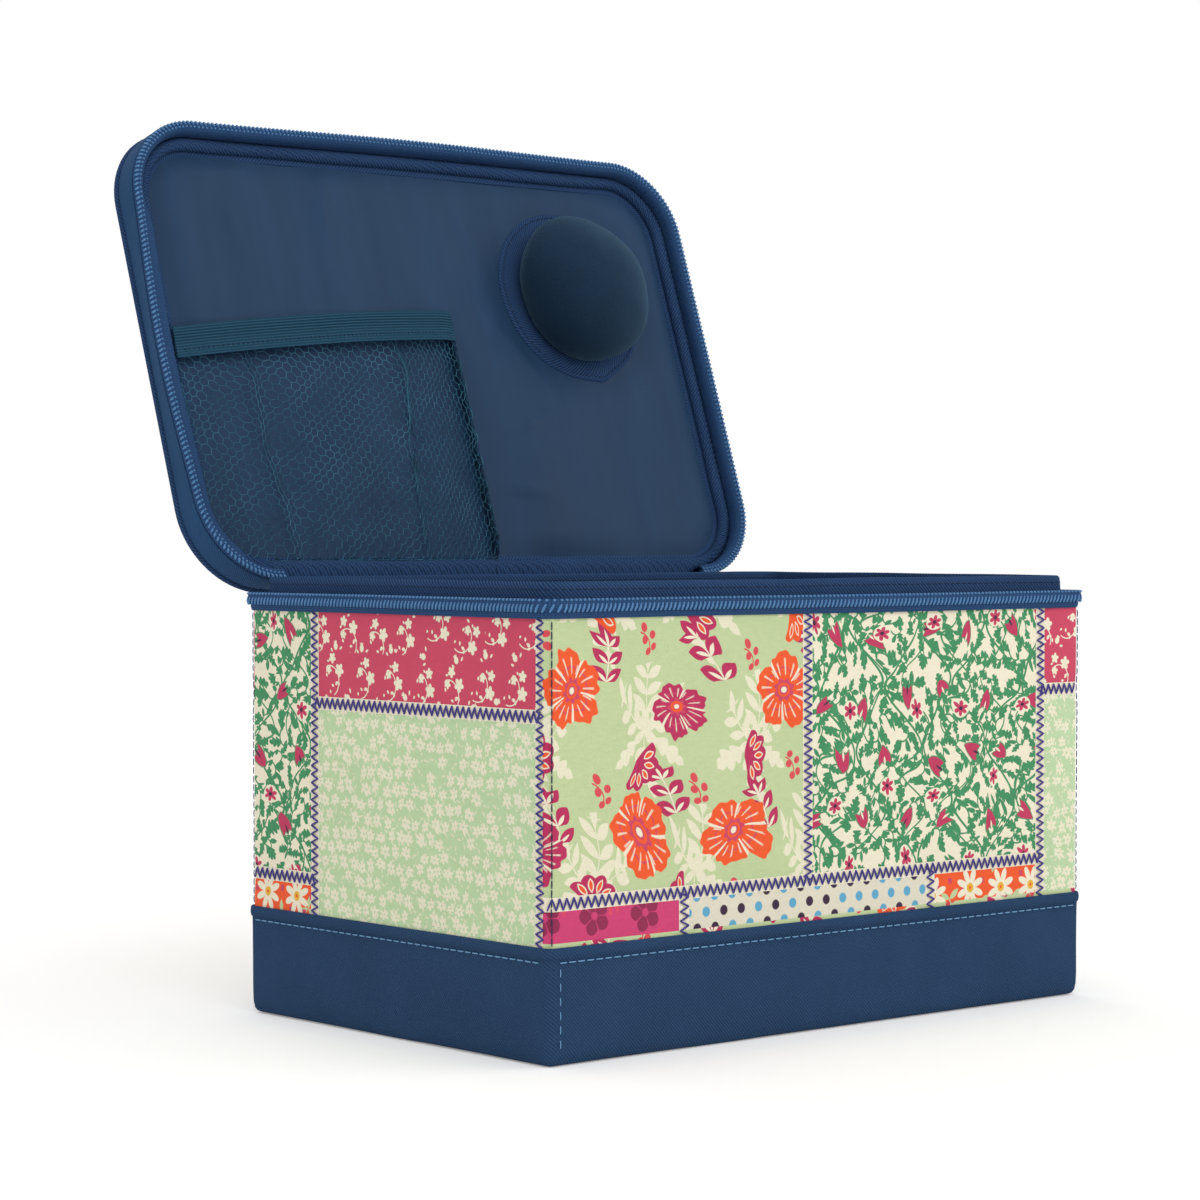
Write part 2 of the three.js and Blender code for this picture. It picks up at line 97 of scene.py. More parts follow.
def closed_box(node):
    """The lowest and highest corners of a node of the lid, with the lid turned back to closed."""
    back = TURNED.inverted()
    places = [back @ corner.co for corner in frame["nodes"][node].data.vertices]
    low = Vector([min(place[i] for place in places) for i in range(3)])
    high = Vector([max(place[i] for place in places) for i in range(3)])
    return low, high


# The case, from its nodes
HALF_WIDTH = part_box("base_band")[1].x
HALF_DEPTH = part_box("base_band")[1].y
BAND_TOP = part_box("base_band")[1].z
PRINT_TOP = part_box("front_print_panel")[1].z
LINING_IN = HALF_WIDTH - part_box("right_lining")[0].x
INSERT_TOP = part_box("base_insert")[1].z
INSERT_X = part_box("base_insert")[1].x
INSERT_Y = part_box("base_insert")[1].y
COLLAR_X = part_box("right_collar")[1].x
COLLAR_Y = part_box("rear_collar")[1].y
COLLAR_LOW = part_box("rear_collar")[0].z
COLLAR_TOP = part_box("rear_collar")[1].z
COIL_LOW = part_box("case_zip_coil")[0].z
COIL_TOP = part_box("case_zip_coil")[1].z
COIL_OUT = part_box("case_zip_coil")[1].x - HALF_WIDTH
HINGE_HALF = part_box("hinge_strip")[1].x
WALL_CORNER = 3 * MM
COLLAR_CORNER = 9 * MM

# The lid, from its nodes; a depth runs from its open face towards its cover
RIM_LOW, RIM_HIGH = closed_box("lid_rim_band")
LID_FACE = closed_box("lid_zip_coil")[0].z
LID_X = RIM_HIGH.x
LID_Y = (RIM_HIGH.y - RIM_LOW.y) / 2
LID_MIDDLE = (RIM_HIGH.y + RIM_LOW.y) / 2
LID_BACK = RIM_HIGH.y
RIM_END = RIM_HIGH.z - LID_FACE
LID_CORNER = 36 * MM
LID_COIL = closed_box("lid_zip_coil")[1].z - LID_FACE
LID_HOLLOW = closed_box("lid_lining")[0].z - LID_FACE
BINDING_LOW = closed_box("lid_binding")[0].z - LID_FACE
BINDING_OUT = LID_X - closed_box("lid_binding")[1].x
BINDING_IN = BINDING_OUT + 6 * MM
NET_LOW, NET_HIGH = closed_box("pocket_net")
ELASTIC_LOW, ELASTIC_HIGH = closed_box("pocket_elastic")
RING_LOW, RING_HIGH = closed_box("pincushion_ring")
DOME_LOW, DOME_HIGH = closed_box("pincushion_dome")
CUSHION = (RING_LOW + RING_HIGH) / 2

# Corners closer than this are one
SAME_SPOT = 1e-7

# How thick the cloths are
PRINT_THICK = 0.7 * MM
COVER_THICK = 0.8 * MM
LINING_THICK = 0.6 * MM
LID_LINING_THICK = 0.7 * MM
HINGE_THICK = 1.1 * MM

# The photograph's view
CAMERA_PLACE = (-0.9332, -1.0234, 0.1997)
CAMERA_HEADING = 41.086
CAMERA_DOWN = 1.168
CAMERA_LENS = 97.92

# The strength of the world's light and of the floor's glow
WORLD_LIGHT = 0.74
FLOOR_GLOW = 0.33
# Painted shade: the share of the floor's glow next to the object, which darkens the floor round it
GLOW_IN_PAINTED_SHADE = 0.62
# How far from the middle the floor's glow starts to grow out of its painted shade, and over how long a way,
# in millimetres
GLOW_START = 260
GLOW_REACH = 560
FLOOR_HALF = 6
LAMP_AIM = (0, 0, 0.12)
LAMPS = [
    ("soft_key", (-1.2, -2.4, 2.3), 2.2, 24),
    ("soft_fill", (2.2, -1.8, 1.8), 2.0, 15),
    ("soft_back", (0.3, 2.6, 2.2), 2.2, 12),
]


def rgb(text):
    """A colour written as six hexadecimal digits, in linear light."""
    parts = [int(text[i:i + 2], 16) / 255 for i in (0, 2, 4)]
    return tuple(c / 12.92 if c <= 0.04045 else ((c + 0.055) / 1.055) ** 2.4 for c in parts)


def length_property(name, description, default):
    return bpy.props.FloatProperty(
        name=name, description=description, default=default, unit="LENGTH", precision=4)


def colour_property(name, description, default):
    return bpy.props.FloatVectorProperty(
        name=name, description=description, subtype="COLOR", size=3, min=0, max=1, default=rgb(default))


class SewingBoxSizes(bpy.types.PropertyGroup):
    """Sizes of the sewing box's cloth, thread and zip."""

    zigzag_width: length_property("Zigzag width", "Width of the zigzag seams on the print", 4.6 * MM)
    zigzag_pitch: length_property("Zigzag pitch", "Length of one whole zigzag", 3.5 * MM)
    thread: length_property("Thread", "Thickness of the zigzag thread", 0.8 * MM)
    dash: length_property("Dash", "Length of one straight stitch", 3.4 * MM)
    dash_gap: length_property("Dash gap", "Room between two straight stitches", 1.1 * MM)
    tooth_pitch: length_property("Tooth pitch", "Distance between two teeth of the zip", 2.2 * MM)
    mesh_cell: length_property("Mesh cell", "Width of one cell of the pocket's net", 4.1 * MM)
    mesh_thread: length_property("Mesh thread", "Thickness of the net's thread", 0.42 * MM)
    lid_bow: length_property("Lid bow", "How far the lid's left side bows out", 5.2 * MM)
    cover_crown: length_property("Cover crown", "How far the lid's padded cover stands up", 2.4 * MM)


class SewingBoxColours(bpy.types.PropertyGroup):
    """Colours of the sewing box's cloth, thread and zip."""

    twill: colour_property("Twill", "Collar and bindings", "2b4469")
    band: colour_property("Band", "Band round the foot of the walls", "2b4566")
    lining: colour_property("Lining", "Smooth lining", "1e3c5c")
    velvet: colour_property("Velvet", "Pincushion", "16293d")
    net: colour_property("Net", "Net pocket", "37677f")
    elastic: colour_property("Elastic", "Elastic along the pocket", "22485f")
    tape: colour_property("Zip tape", "Knitted tape of the zip", "2c4c76")
    teeth: colour_property("Zip teeth", "Coil of the zip", "4f7fae")
    metal: colour_property("Zip metal", "Slider and pull tab", "35506f")
    thread: colour_property("Thread", "Zigzag thread", "463f8a")
    dash: colour_property("Dash thread", "Straight stitches on the band", "6f9cc4")
    sage: colour_property("Sage", "Ground of the large print", "c0cf9d")
    cream: colour_property("Cream", "Ground of the vine print, and the tone motifs", "eee6cd")
    orange: colour_property("Orange", "Large blossoms", "ef5a2c")
    raspberry: colour_property("Raspberry", "Small blossoms and leaves", "b9305c")
    red: colour_property("Red", "Ground of the red print", "cb4863")
    pink: colour_property("Pink", "Ground of the pink print", "cf4274")
    green: colour_property("Green", "Ground of the ditsy print", "bcd4a7")
    leaf: colour_property("Leaf", "Leaves and stems of the vine", "3f8a5c")
    dot_ground: colour_property("Dot ground", "Ground of the dotted print", "ded8c4")
    dot_dark: colour_property("Dark dot", "Dark dots", "3c2841")
    dot_blue: colour_property("Blue dot", "Blue dots", "5fa6c8")
    board: colour_property("Board", "Stiffening boards", "b8b2a4")
    foam: colour_property("Wadding", "Wadding of the lid", "e8e4d8")


def sizes():
    return bpy.context.scene.sewing_box_sizes


def colours():
    return bpy.context.scene.sewing_box_colours


class Value:
    """A socket of a finish, which sums, products and comparisons can be written with."""

    def __init__(self, finish, socket):
        self.finish = finish
        self.socket = socket

    def math(self, operation, *others, clamp=False):
        settings = {"operation": operation, "use_clamp": clamp}
        return self.finish.add("ShaderNodeMath", settings, dict(enumerate((self, *others))))

    def __add__(self, other):
        return self.math("ADD", other)

    __radd__ = __add__

    def __sub__(self, other):
        return self.math("SUBTRACT", other)

    def __rsub__(self, other):
        return self * -1 + other

    def __mul__(self, other):
        return self.math("MULTIPLY", other)

    __rmul__ = __mul__

    def __truediv__(self, other):
        return self.math("DIVIDE", other)

    def __mod__(self, other):
        return self.math("FLOORED_MODULO", other)

    def __abs__(self):
        return self.math("ABSOLUTE")

    def __gt__(self, other):
        return self.math("GREATER_THAN", other)

    def sine(self):
        return self.math("SINE")

    def floor(self):
        return self.math("FLOOR")

    def edge(self, width):
        """0 where this is below zero and 1 where it is above, over a soft edge of that width."""
        return (self / width).math("ADD", 0.5, clamp=True)

    def either(self, other):
        return self.math("MAXIMUM", other)

    def both(self, other):
        return self.math("MINIMUM", other)


class Finish:
    """The nodes of one material or world."""

    def __init__(self, owner):
        owner.use_nodes = True
        self.tree = owner.node_tree
        self.tree.nodes.clear()

    def add(self, kind, settings=None, sockets=None, out=0):
        """Adds a node of a type: first its settings, then the values or links of its sockets."""
        node = self.tree.nodes.new(kind)
        for key, value in (settings or {}).items():
            setattr(node, key, value)
        for key, value in (sockets or {}).items():
            socket = node.inputs[key]
            if isinstance(value, Value):
                self.tree.links.new(value.socket, socket)
            elif socket.type == "RGBA" and len(value) == 3:
                socket.default_value = (*value, 1)
            else:
                socket.default_value = value
        return Value(self, node.outputs[out]) if node.outputs else None

    def also(self, value, out):
        """Another output of the node that a value comes from."""
        return Value(self, value.socket.node.outputs[out])

    def mix(self, factor, below, above):
        settings = {"data_type": "RGBA", "clamp_factor": True}
        return self.add("ShaderNodeMix", settings, {0: factor, 6: below, 7: above}, out=2)

    def shade(self, colour, amount):
        """A colour made lighter or darker by a number round 1."""
        grey = self.add("ShaderNodeCombineColor", None, {0: amount, 1: amount, 2: amount})
        settings = {"data_type": "RGBA", "blend_type": "MULTIPLY"}
        return self.add("ShaderNodeMix", settings, {0: 1, 6: colour, 7: grey}, out=2)

    def vector(self, x, y=0.0, z=0.0):
        return self.add("ShaderNodeCombineXYZ", None, {0: x, 1: y, 2: z})

    def cloth(self):
        """A place on the piece's own cloth, across and up, in millimetres."""
        split = self.add("ShaderNodeSeparateXYZ", None, {0: self.add("ShaderNodeUVMap", {"uv_map": "cloth"})})
        return split * (1 / MM), self.also(split, 1) * (1 / MM)

    def place(self):
        """A place in the object, in millimetres."""
        spot = self.add("ShaderNodeTexCoord", None, None, out=3)
        return self.add("ShaderNodeVectorMath", {"operation": "SCALE"}, {0: spot, "Scale": 1 / MM})

    def noise(self, place, size, detail=2.0, rough=0.5):
        """Smooth noise whose lumps are about as wide as size, in millimetres."""
        sockets = {"Vector": place, "Scale": 1 / size, "Detail": detail, "Roughness": rough}
        return self.add("ShaderNodeTexNoise", None, sockets)

    def chance(self, x, y, seed):
        """Three random numbers for a cell of a pattern, as a vector's parts."""
        random_colour = self.add("ShaderNodeTexWhiteNoise", {"noise_dimensions": "3D"},
                                 {"Vector": self.vector(x, y, seed)}, out=1)
        first = self.add("ShaderNodeSeparateColor", None, {0: random_colour})
        return first, self.also(first, 1), self.also(first, 2)

    def close(self, colour, roughness, height=None, relief=0.2, strength=1.0, **uniform):
        """Ends the material in a Principled shader. Its height is in millimetres times relief."""
        sockets = {"Base Color": colour, "Roughness": roughness}
        if height is not None:
            sockets["Normal"] = self.add(
                "ShaderNodeBump", None, {"Strength": strength, "Distance": relief * MM, "Height": height})
        sockets.update({key.replace("_", " "): value for key, value in uniform.items()})
        self.end(self.add("ShaderNodeBsdfPrincipled", None, sockets))

    def end(self, shader, kind="ShaderNodeOutputMaterial"):
        self.add(kind, None, {"Surface": shader})


def radius_of(x, y):
    return (x * x + y * y).math("SQRT")


def ribs(along, pitch):
    """Soft ribs across a direction, from 0 to 1."""
    return (along * (TURN / pitch)).sine() * 0.5 + 0.5


def weave_of(x, y, pitch):
    """The overs and unders of a plain weave, from -1 to 1."""
    return (x * (TURN / pitch)).sine() * (y * (TURN / pitch)).sine()


def scatter(f, x, y, cell, jitter, seed):
    """Where a place lies from the centre of the motif of its cell, and the cell's two random numbers."""
    row = (y / cell).floor()
    shifted = x + (row % 2) * (cell / 2)
    column = (shifted / cell).floor()
    along, up, pick = f.chance(column, row, seed)
    across = shifted - (column + 0.5) * cell - (along - 0.5) * jitter
    above = y - (row + 0.5) * cell - (up - 0.5) * jitter
    return across, above, pick, along


def petals(x, y, radius, count, depth, turn=0.0, soft=0.35):
    """A mask of a flower with rounded petals, with the distance from its middle and the petals' wave."""
    far = radius_of(x, y)
    angle = y.math("ARCTAN2", x)
    wave = abs((angle * (count / 2) + turn).sine())
    mask = ((wave * depth + (1 - depth)) * radius - far).edge(soft)
    return mask, far, wave


def swung(x, y, angle):
    """How far a place lies along a direction, and how far across it."""
    cosine, sine = math.cos(angle), math.sin(angle)
    return x * cosine + y * sine, y * cosine - x * sine


def leaf(x, y, length, width, angle, soft=0.3):
    """A mask of a pointed leaf that starts at the origin and grows at an angle, in radians."""
    along, across = swung(x, y, angle)
    share = along / length - 0.5
    return ((0.25 - share * share) * (4 * width) - abs(across)).edge(soft)


def turned(x, y, share):
    """A place turned by a share of a whole turn, which may differ from motif to motif."""
    angle = share * TURN
    cosine, sine = angle.math("COSINE"), angle.sine()
    return x * cosine + y * sine, y * cosine - x * sine


def frond(x, y, reach, angle, bend, pitch, long, wide, soft=0.3):
    """A mask of paired leaves along a bent stem, which starts at the origin."""
    along, across = swung(x, y, angle)
    across = across - along * along * bend
    pairs = leaf(along % pitch, abs(across), long, wide, 0.95, soft)
    stem = (0.3 - abs(across)).edge(0.2)
    inside = along.edge(soft).both((reach - along).edge(soft))
    tip = leaf(along - reach + pitch * 0.6, across, long * 1.1, wide, 0, soft)
    return pairs.either(stem).both(inside).either(tip)


def canvas(f, x, y, pitch=0.8):
    """Height of a plain weave, in shares of its thread."""
    slub = f.noise(f.vector(x * 0.3, y), 1.4, 3)
    return weave_of(x, y, pitch) * 0.5 + slub


def print_cloth(f, pattern):
    """Printed canvas: a pattern, its weave, and the faint unevenness of dyed cloth."""
    x, y = f.cloth()
    weave = canvas(f, x, y)
    colour = pattern(f, x, y)
    wear = f.noise(f.vector(x, y), 26, 2)
    thread = f.noise(f.vector(x, y * 4), 0.8, 2)
    colour = f.shade(colour, weave * 0.16 + (wear * 0.10 + 0.96) + (thread - 0.5) * 0.16)
    f.close(colour, 0.86, weave, relief=0.14, strength=0.8, Specular_IOR_Level=0.25, Sheen_Weight=0.06)


# Lobes along each edge of a lobed leaf
LOBES = 3


def lobed(x, y, length, width, angle):
    """A mask of a leaf with forward lobes along both edges, which starts at the origin."""
    along, across = swung(x, y, angle)
    across = abs(across)
    share = along / length - 0.5
    lobe = abs(((along - across * 0.7) * (math.pi * LOBES / length)).sine())
    return ((0.25 - share * share) * (4 * width) * (lobe * 0.55 + 0.45) - across).edge(0.3)


def sage_floral(f, x, y):
    """Large orange and raspberry blossoms, leafy sprays and berries, over cream fronds on sage."""
    c = colours()
    wavy = f.noise(f.vector(x, y), 42, 1)
    x2, y2 = x + (wavy - 0.5) * 20, y + (wavy - 0.5) * -18
    tx, ty, _, _ = scatter(f, x2 + 30, y2 + 12, 54, 8, 3)
    tone = frond(tx, ty, 27, 1.3, 0.010, 6.6, 10.5, 2.1)
    for angle, bend, reach in ((0.3, 0.02, 19), (2.6, -0.02, 19), (4.5, 0.02, 20)):
        tone = tone.either(frond(tx, ty, reach, angle, bend, 6.0, 8.4, 1.8))
    tone = tone.either(lobed(tx - 5, ty + 3, 17, 3.8, -0.6)).either(lobed(tx + 5, ty + 2, 16, 3.6, 3.7))
    hook = (0.9 - abs(radius_of(tx - 9, ty - 6) - 5.5)).edge(0.3).both((ty - 6).edge(0.3))
    tone = tone.either(hook)
    colour = f.mix(tone * 0.85, c.sage, c.cream)
    sx, sy, pick, _ = scatter(f, x2 + 24, y2 + 40, 54, 10, 7)
    rx, ry = turned(sx, sy, pick * 0.16)
    spray = frond(rx, ry + 8, 19, 1.25, 0.012, 7.4, 9.2, 2.7)
    slit = frond(rx, ry + 8, 19, 1.25, 0.012, 7.4, 5.8, 0.7, 0.2)
    colour = f.mix(spray, colour, c.raspberry)
    colour = f.mix(slit, colour, c.cream)
    lx, ly, _, _ = scatter(f, x2 + 4, y2 + 30, 54, 12, 9)
    stem = (0.3 - abs(radius_of(lx + 5, ly + 1) - 6.0)).edge(0.2)
    berry = stem.both((lx + 4).edge(0.3)).both((ly + 4).edge(0.3))
    for spot_x, spot_y in ((-1.6, 6.4), (2.6, 3.6), (3.4, -1.2), (-1.8, 2.2), (0.2, -2.6)):
        berry = berry.either((1.6 - radius_of(lx - spot_x, ly - spot_y)).edge(0.3))
    colour = f.mix(berry, colour, f.mix(0.35, c.red, c.orange))
    bx, by, pick, turn = scatter(f, x2 + 10, y2, 54, 12, 11)
    rx, ry = turned(bx, by, turn)
    colour = blossom(f, rx, ry * 0.84, colour, f.mix(pick > 0.4, c.raspberry, c.orange), pick * 5 + 10.5)
    fx, fy, pick, turn = scatter(f, x2 + 37, y2 + 22, 54, 10, 13)
    rx, ry = turned(fx, fy, turn)
    return fan(f, rx, ry, colour, f.mix(pick > 0.5, c.orange, c.raspberry))


def fan(f, x, y, ground, petal):
    """A blossom seen from its side, with drops of the other colour on its petals."""
    c = colours()
    mask = petals(x, y, 11, 9, 0.17, 0.6)[0].both((y - abs(x) * 0.2 + 2.2).edge(0.4))
    colour = f.mix(mask, ground, petal)
    for i in range(5):
        angle = 0.32 + i * 0.625
        drop_x, drop_y = x - 3.4 * math.cos(angle), y - 3.4 * math.sin(angle)
        rim = leaf(drop_x, drop_y, 6.0, 1.35, angle)
        drop = leaf(drop_x - 0.7 * math.cos(angle), drop_y - 0.7 * math.sin(angle), 4.6, 0.8, angle)
        colour = f.mix(rim.both(mask), colour, c.cream)
        colour = f.mix(drop.both(mask), colour, c.orange)
    return colour


def blossom(f, x, y, ground, petal, size):
    """A large open blossom with ruffled petals, fine veins and a red heart."""
    c = colours()
    angle = y.math("ARCTAN2", x)
    wave = abs((angle * 2.5 + 0.4).sine())
    ruffle = (angle * 20).sine() * 0.35 + (angle * 13 + 1).sine() * 0.45
    far = radius_of(x, y)
    outline = (wave * 0.20 + 0.80) * size + ruffle
    flower = (outline - far).edge(0.4)
    parting = (0.13 - wave).edge(0.10).both((far - size * 0.34).edge(0.5)).both((size * 0.9 - far).edge(0.5))
    vein = ((angle * 17).sine() - 0.80).edge(0.25).both((far - size * 0.42).edge(0.6))
    vein = vein.both((outline * 0.80 - far).edge(0.8))
    band = (0.35 - abs(far - outline * 0.60)).edge(0.3)
    petal = f.mix(band * 0.8, petal, c.red)
    petal = f.mix(vein * 0.75, petal, c.cream)
    petal = f.mix(parting, petal, c.cream)
    inner = (size * 0.30 + (angle * 8).sine() * 0.6 - far).edge(0.4)
    petal = f.mix(inner, petal, c.red)
    petal = f.mix((0.5 - abs(far - size * 0.17)).edge(0.3), petal, c.orange)
    petal = f.mix((size * 0.09 - far).edge(0.3), petal, c.cream)
    return f.mix(flower, ground, petal)


def curled_sprig(x, y, size):
    """A mask of a curled stem with lobed leaves."""
    curl = (0.34 - abs(radius_of(x, y) - size * 0.55)).edge(0.2).both((y + size * 0.25).edge(0.3))
    leaves = lobed(x - size * 0.5, y, size * 1.35, size * 0.42, -0.9)
    leaves = leaves.either(lobed(x + size * 0.5, y, size * 1.25, size * 0.38, 4.2))
    leaves = leaves.either(lobed(x, y - size * 0.45, size * 1.25, size * 0.40, 1.2))
    leaves = leaves.either(leaf(x - size * 0.3, y - size * 0.4, size * 1.1, size * 0.20, 0.3))
    return curl.either(leaves).either(leaf(x + size * 0.25, y + size * 0.1, size * 0.7, size * 0.18, 1.9))


def winding(x, y, spacing, period, swing, wide, soft=0.22):
    """A mask of stems that wind upwards side by side, each the mirror image of the next."""
    column = (x / spacing).floor()
    phase = y * (TURN / period)
    off = abs(x - (column + 0.5) * spacing - phase.sine() * ((column % 2) * 2 - 1) * swing)
    steep = phase.math("COSINE") * (swing * TURN / period)
    return (wide - off / (steep * steep + 1).math("SQRT")).edge(soft)


def tulip(x, y, soft=0.3):
    """A mask of a tulip whose foot is at the origin."""
    body = leaf(x, y, 8.2, 2.7, 1.57, soft)
    return body.either(leaf(x + 0.5, y, 9.4, 1.6, 1.17, soft)).either(leaf(x - 0.5, y, 9.4, 1.6, 1.97, soft))


def cream_vine(f, x, y):
    """Winding stems with curled sprigs of lobed leaves, tulips and small flowers, on cream."""
    c = colours()
    warp = f.noise(f.vector(x, y), 30, 1)
    x2, y2 = x + (warp - 0.5) * 16, y + (warp - 0.5) * -12
    green = winding(x2, y2, 20, 50, 9.4, 0.5).either(winding(x2 + 7, y2 + 14, 24, 36, 8.0, 0.36))
    for cell, seed, size in ((15.5, 21, 6.0), (13, 23, 4.6)):
        lx, ly, pick, _ = scatter(f, x2 + seed, y2 + seed * 0.6, cell, 4, seed)
        rx, ry = turned(lx, ly, pick)
        green = green.either(curled_sprig(rx, ry, size))
    leafy = f.shade(c.leaf, (f.noise(f.vector(x, y), 6, 1) - 0.5) * 0.3 + 1.05)
    bx, by, pick, turn = scatter(f, x2 + 8, y2 + 5, 25, 7, 27)
    rx, ry = turned(bx, by, pick)
    green = green.either(tulip(rx * 0.86, (ry + 4.4) * 0.88))
    colour = f.mix(green, c.cream, leafy)
    colour = f.mix(tulip(rx, ry + 4), colour, f.mix(0.35, c.raspberry, c.red))
    colour = f.mix(leaf(rx, ry - 0.6, 4.6, 0.5, 1.57), colour, f.mix(turn > 0.5, c.cream, c.dot_dark))
    fx, fy, _, _ = scatter(f, x2 + 19, y2 + 21, 33, 10, 29)
    flower, far, _ = petals(fx, fy, 3.6, 6, 0.55)
    colour = f.mix((4.2 - far).edge(0.3), colour, c.cream)
    colour = f.mix(flower, colour, f.mix(0.5, c.raspberry, c.red))
    return f.mix((0.9 - far).edge(0.25), colour, c.dot_dark)


def bud(x, y, size):
    """A mask of a plump bud with a pointed crown."""
    body = (size - radius_of(x, y * 0.88)).edge(0.25)
    for angle in (1.0, 1.57, 2.14):
        body = body.either(leaf(x, y - size * 0.6, size * 1.35, size * 0.28, angle, 0.25))
    return body


def red_blossom(f, x, y):
    """Cream sprigs with small blossoms, fine stems and specks, on crimson."""
    c = colours()
    lx, ly, pick, _ = scatter(f, x, y, 19, 5, 31)
    rx, ry = turned(lx, ly, pick * 0.30 - 0.15)
    stem = (0.24 - abs(radius_of(rx + 4.5, ry + 3) - 6.2)).edge(0.15).both((rx + 4).edge(0.3))
    sprig = stem.both((3.4 - ry).edge(0.3))
    for spot_x, spot_y, size in ((0.6, 5.0, 2.3), (3.2, -1.2, 2.9), (-3.4, 1.4, 1.9)):
        sprig = sprig.either(petals(rx - spot_x, ry - spot_y, size, 5, 0.45, soft=0.3)[0])
    for spot_x, spot_y, size in ((-4.6, 3.2, 0.8), (-3.2, 5.2, 0.6), (-5.4, 0.8, 0.7), (-1.6, -5.8, 0.9),
                                 (-3.8, -4.8, 0.7), (0.8, -7.0, 0.7), (-5.6, -6.4, 0.6)):
        sprig = sprig.either(leaf(rx - spot_x, ry - spot_y, size * 2.6, size * 0.8, 1.1 + spot_x * 0.5, 0.2))
    tx, ty, pick, _ = scatter(f, x + 10, y + 9, 19, 5, 37)
    rx, ry = turned(tx, ty, pick * 0.5 - 0.25)
    sprig = sprig.either(bud(rx, ry, 1.3)).either(leaf(rx - 2.4, ry + 1.5, 2.2, 0.5, 0.5))
    return f.mix(sprig.either(leaf(rx + 2.2, ry + 2.0, 2.0, 0.5, 2.2)), c.red, c.cream)


def green_ditsy(f, x, y):
    """Small pale flowers and leaves strewn on light green."""
    c = colours()
    wavy = f.noise(f.vector(x, y), 9, 1)
    sx, sy, pick, _ = scatter(f, x + wavy * 6, y - wavy * 5, 6.2, 2.4, 41)
    star, far, _ = petals(sx, sy, 2.8, 6, 0.55, soft=0.3)
    star = star.both((far - 0.5).edge(0.2)) * (pick > 0.18)
    lx, ly, pick, _ = scatter(f, x + 3, y + 2, 4.6, 2.4, 43)
    rx, ry = turned(lx, ly, pick)
    sprig = leaf(rx + 1.2, ry, 2.8, 0.45, 0.3).either((0.5 - radius_of(rx + 1.6, ry + 1)).edge(0.2))
    pale = f.mix(0.12, c.cream, c.green)
    return f.mix(star.either(sprig * 0.75), c.green, pale)


def pink_tone(f, x, y):
    """Tone-on-tone blossoms and fronds on pink."""
    c = colours()
    tx, ty, _, _ = scatter(f, x + 4, y + 3, 26, 5, 53)
    tone = frond(tx, ty, 12, 0.6, 0.02, 3.6, 4.4, 1.0).either(frond(tx, ty, 11, 3.5, -0.02, 3.6, 4.2, 0.9))
    colour = f.mix(tone * 0.7, c.pink, f.mix(0.5, c.pink, c.orange))
    bx, by, _, _ = scatter(f, x + 16, y + 9, 26, 4, 51)
    flower, far, wave = petals(bx, by, 7.6, 5, 0.32)
    dark = f.mix(0.45, c.raspberry, c.dot_dark)
    petal = f.mix((0.12 - wave).edge(0.1).either((1.6 - far).edge(0.4)), dark, c.pink)
    return f.mix(flower, colour, petal)


# Places of the dots, in millimetres
DOT_PITCH = 9.4
DOT_RISE = 6.2
DOT_RADIUS = 2.0


def polka_dots(f, x, y):
    """Staggered dots, each dark or blue, on cream."""
    c = colours()
    row = (y / DOT_RISE).floor()
    shifted = x + (row % 2) * (DOT_PITCH / 2)
    column = (shifted / DOT_PITCH).floor()
    pick = f.chance(column, row, 61)[0]
    far = radius_of(shifted - (column + 0.5) * DOT_PITCH, y - (row + 0.5) * DOT_RISE)
    return f.mix((DOT_RADIUS - far).edge(0.3), c.dot_ground, f.mix(pick > 0.5, c.dot_dark, c.dot_blue))


def orange_flowers(f, x, y):
    """White daisies with yellow centres and sage leaves, on orange-red."""
    c = colours()
    lx, ly, pick, _ = scatter(f, x + 11, y + 5, 20, 5, 73)
    rx, ry = turned(lx, ly, pick)
    leaves = leaf(rx, ry, 6.8, 1.3, 0.5).either(leaf(rx, ry, 6.8, 1.3, 2.6))
    leaves = leaves.either(leaf(rx, ry, 5.6, 1.2, 4.6))
    colour = f.mix(leaves, c.orange, c.sage)
    sx, sy, _, _ = scatter(f, x + 2, y + 5, 9, 4, 75)
    colour = f.mix(petals(sx, sy, 1.5, 4, 0.4)[0], colour, c.red)
    bx, by, _, _ = scatter(f, x, y, 20, 5, 71)
    flower, far, _ = petals(bx, by, 8.2, 8, 0.62)
    colour = f.mix(flower, colour, c.cream)
    heart = f.mix((0.7 - far).edge(0.3), rgb("e8b23a"), c.orange)
    return f.mix((2.0 - far).edge(0.3), colour, heart)


def plain_cream(f, x, y):
    """Unprinted cloth, which shows under the zigzag seams."""
    return colours().cream


PRINTS = {
    "sage_floral_print": sage_floral,
    "cream_vine_print": cream_vine,
    "red_blossom_print": red_blossom,
    "green_ditsy_print": green_ditsy,
    "pink_tone_print": pink_tone,
    "polka_dot_print": polka_dots,
    "orange_flower_print": orange_flowers,
    "cream_seam_cloth": plain_cream,
}


def twill_cloth(f, colour, pitch=1.3, contrast=0.8):
    """Diagonal ribs of twill, with a paler rib top and slightly uneven dye."""
    x, y = f.cloth()
    waver = f.noise(f.vector(x, y), 5, 2)
    rib = ((x + y) * (TURN / pitch / math.sqrt(2)) + waver * 1.6).sine() * 0.5 + 0.5
    fleck = f.noise(f.vector(x, y), 0.9, 2)
    dye = f.noise(f.vector(x, y), 30, 2)
    tone = rib * contrast + (fleck - 0.5) * 0.30 + (dye - 0.5) * 0.28 + (1 - contrast / 2)
    f.close(f.shade(colour, tone), 0.75, rib + fleck * 0.5, relief=0.22, strength=0.8,
            Specular_IOR_Level=0.06)


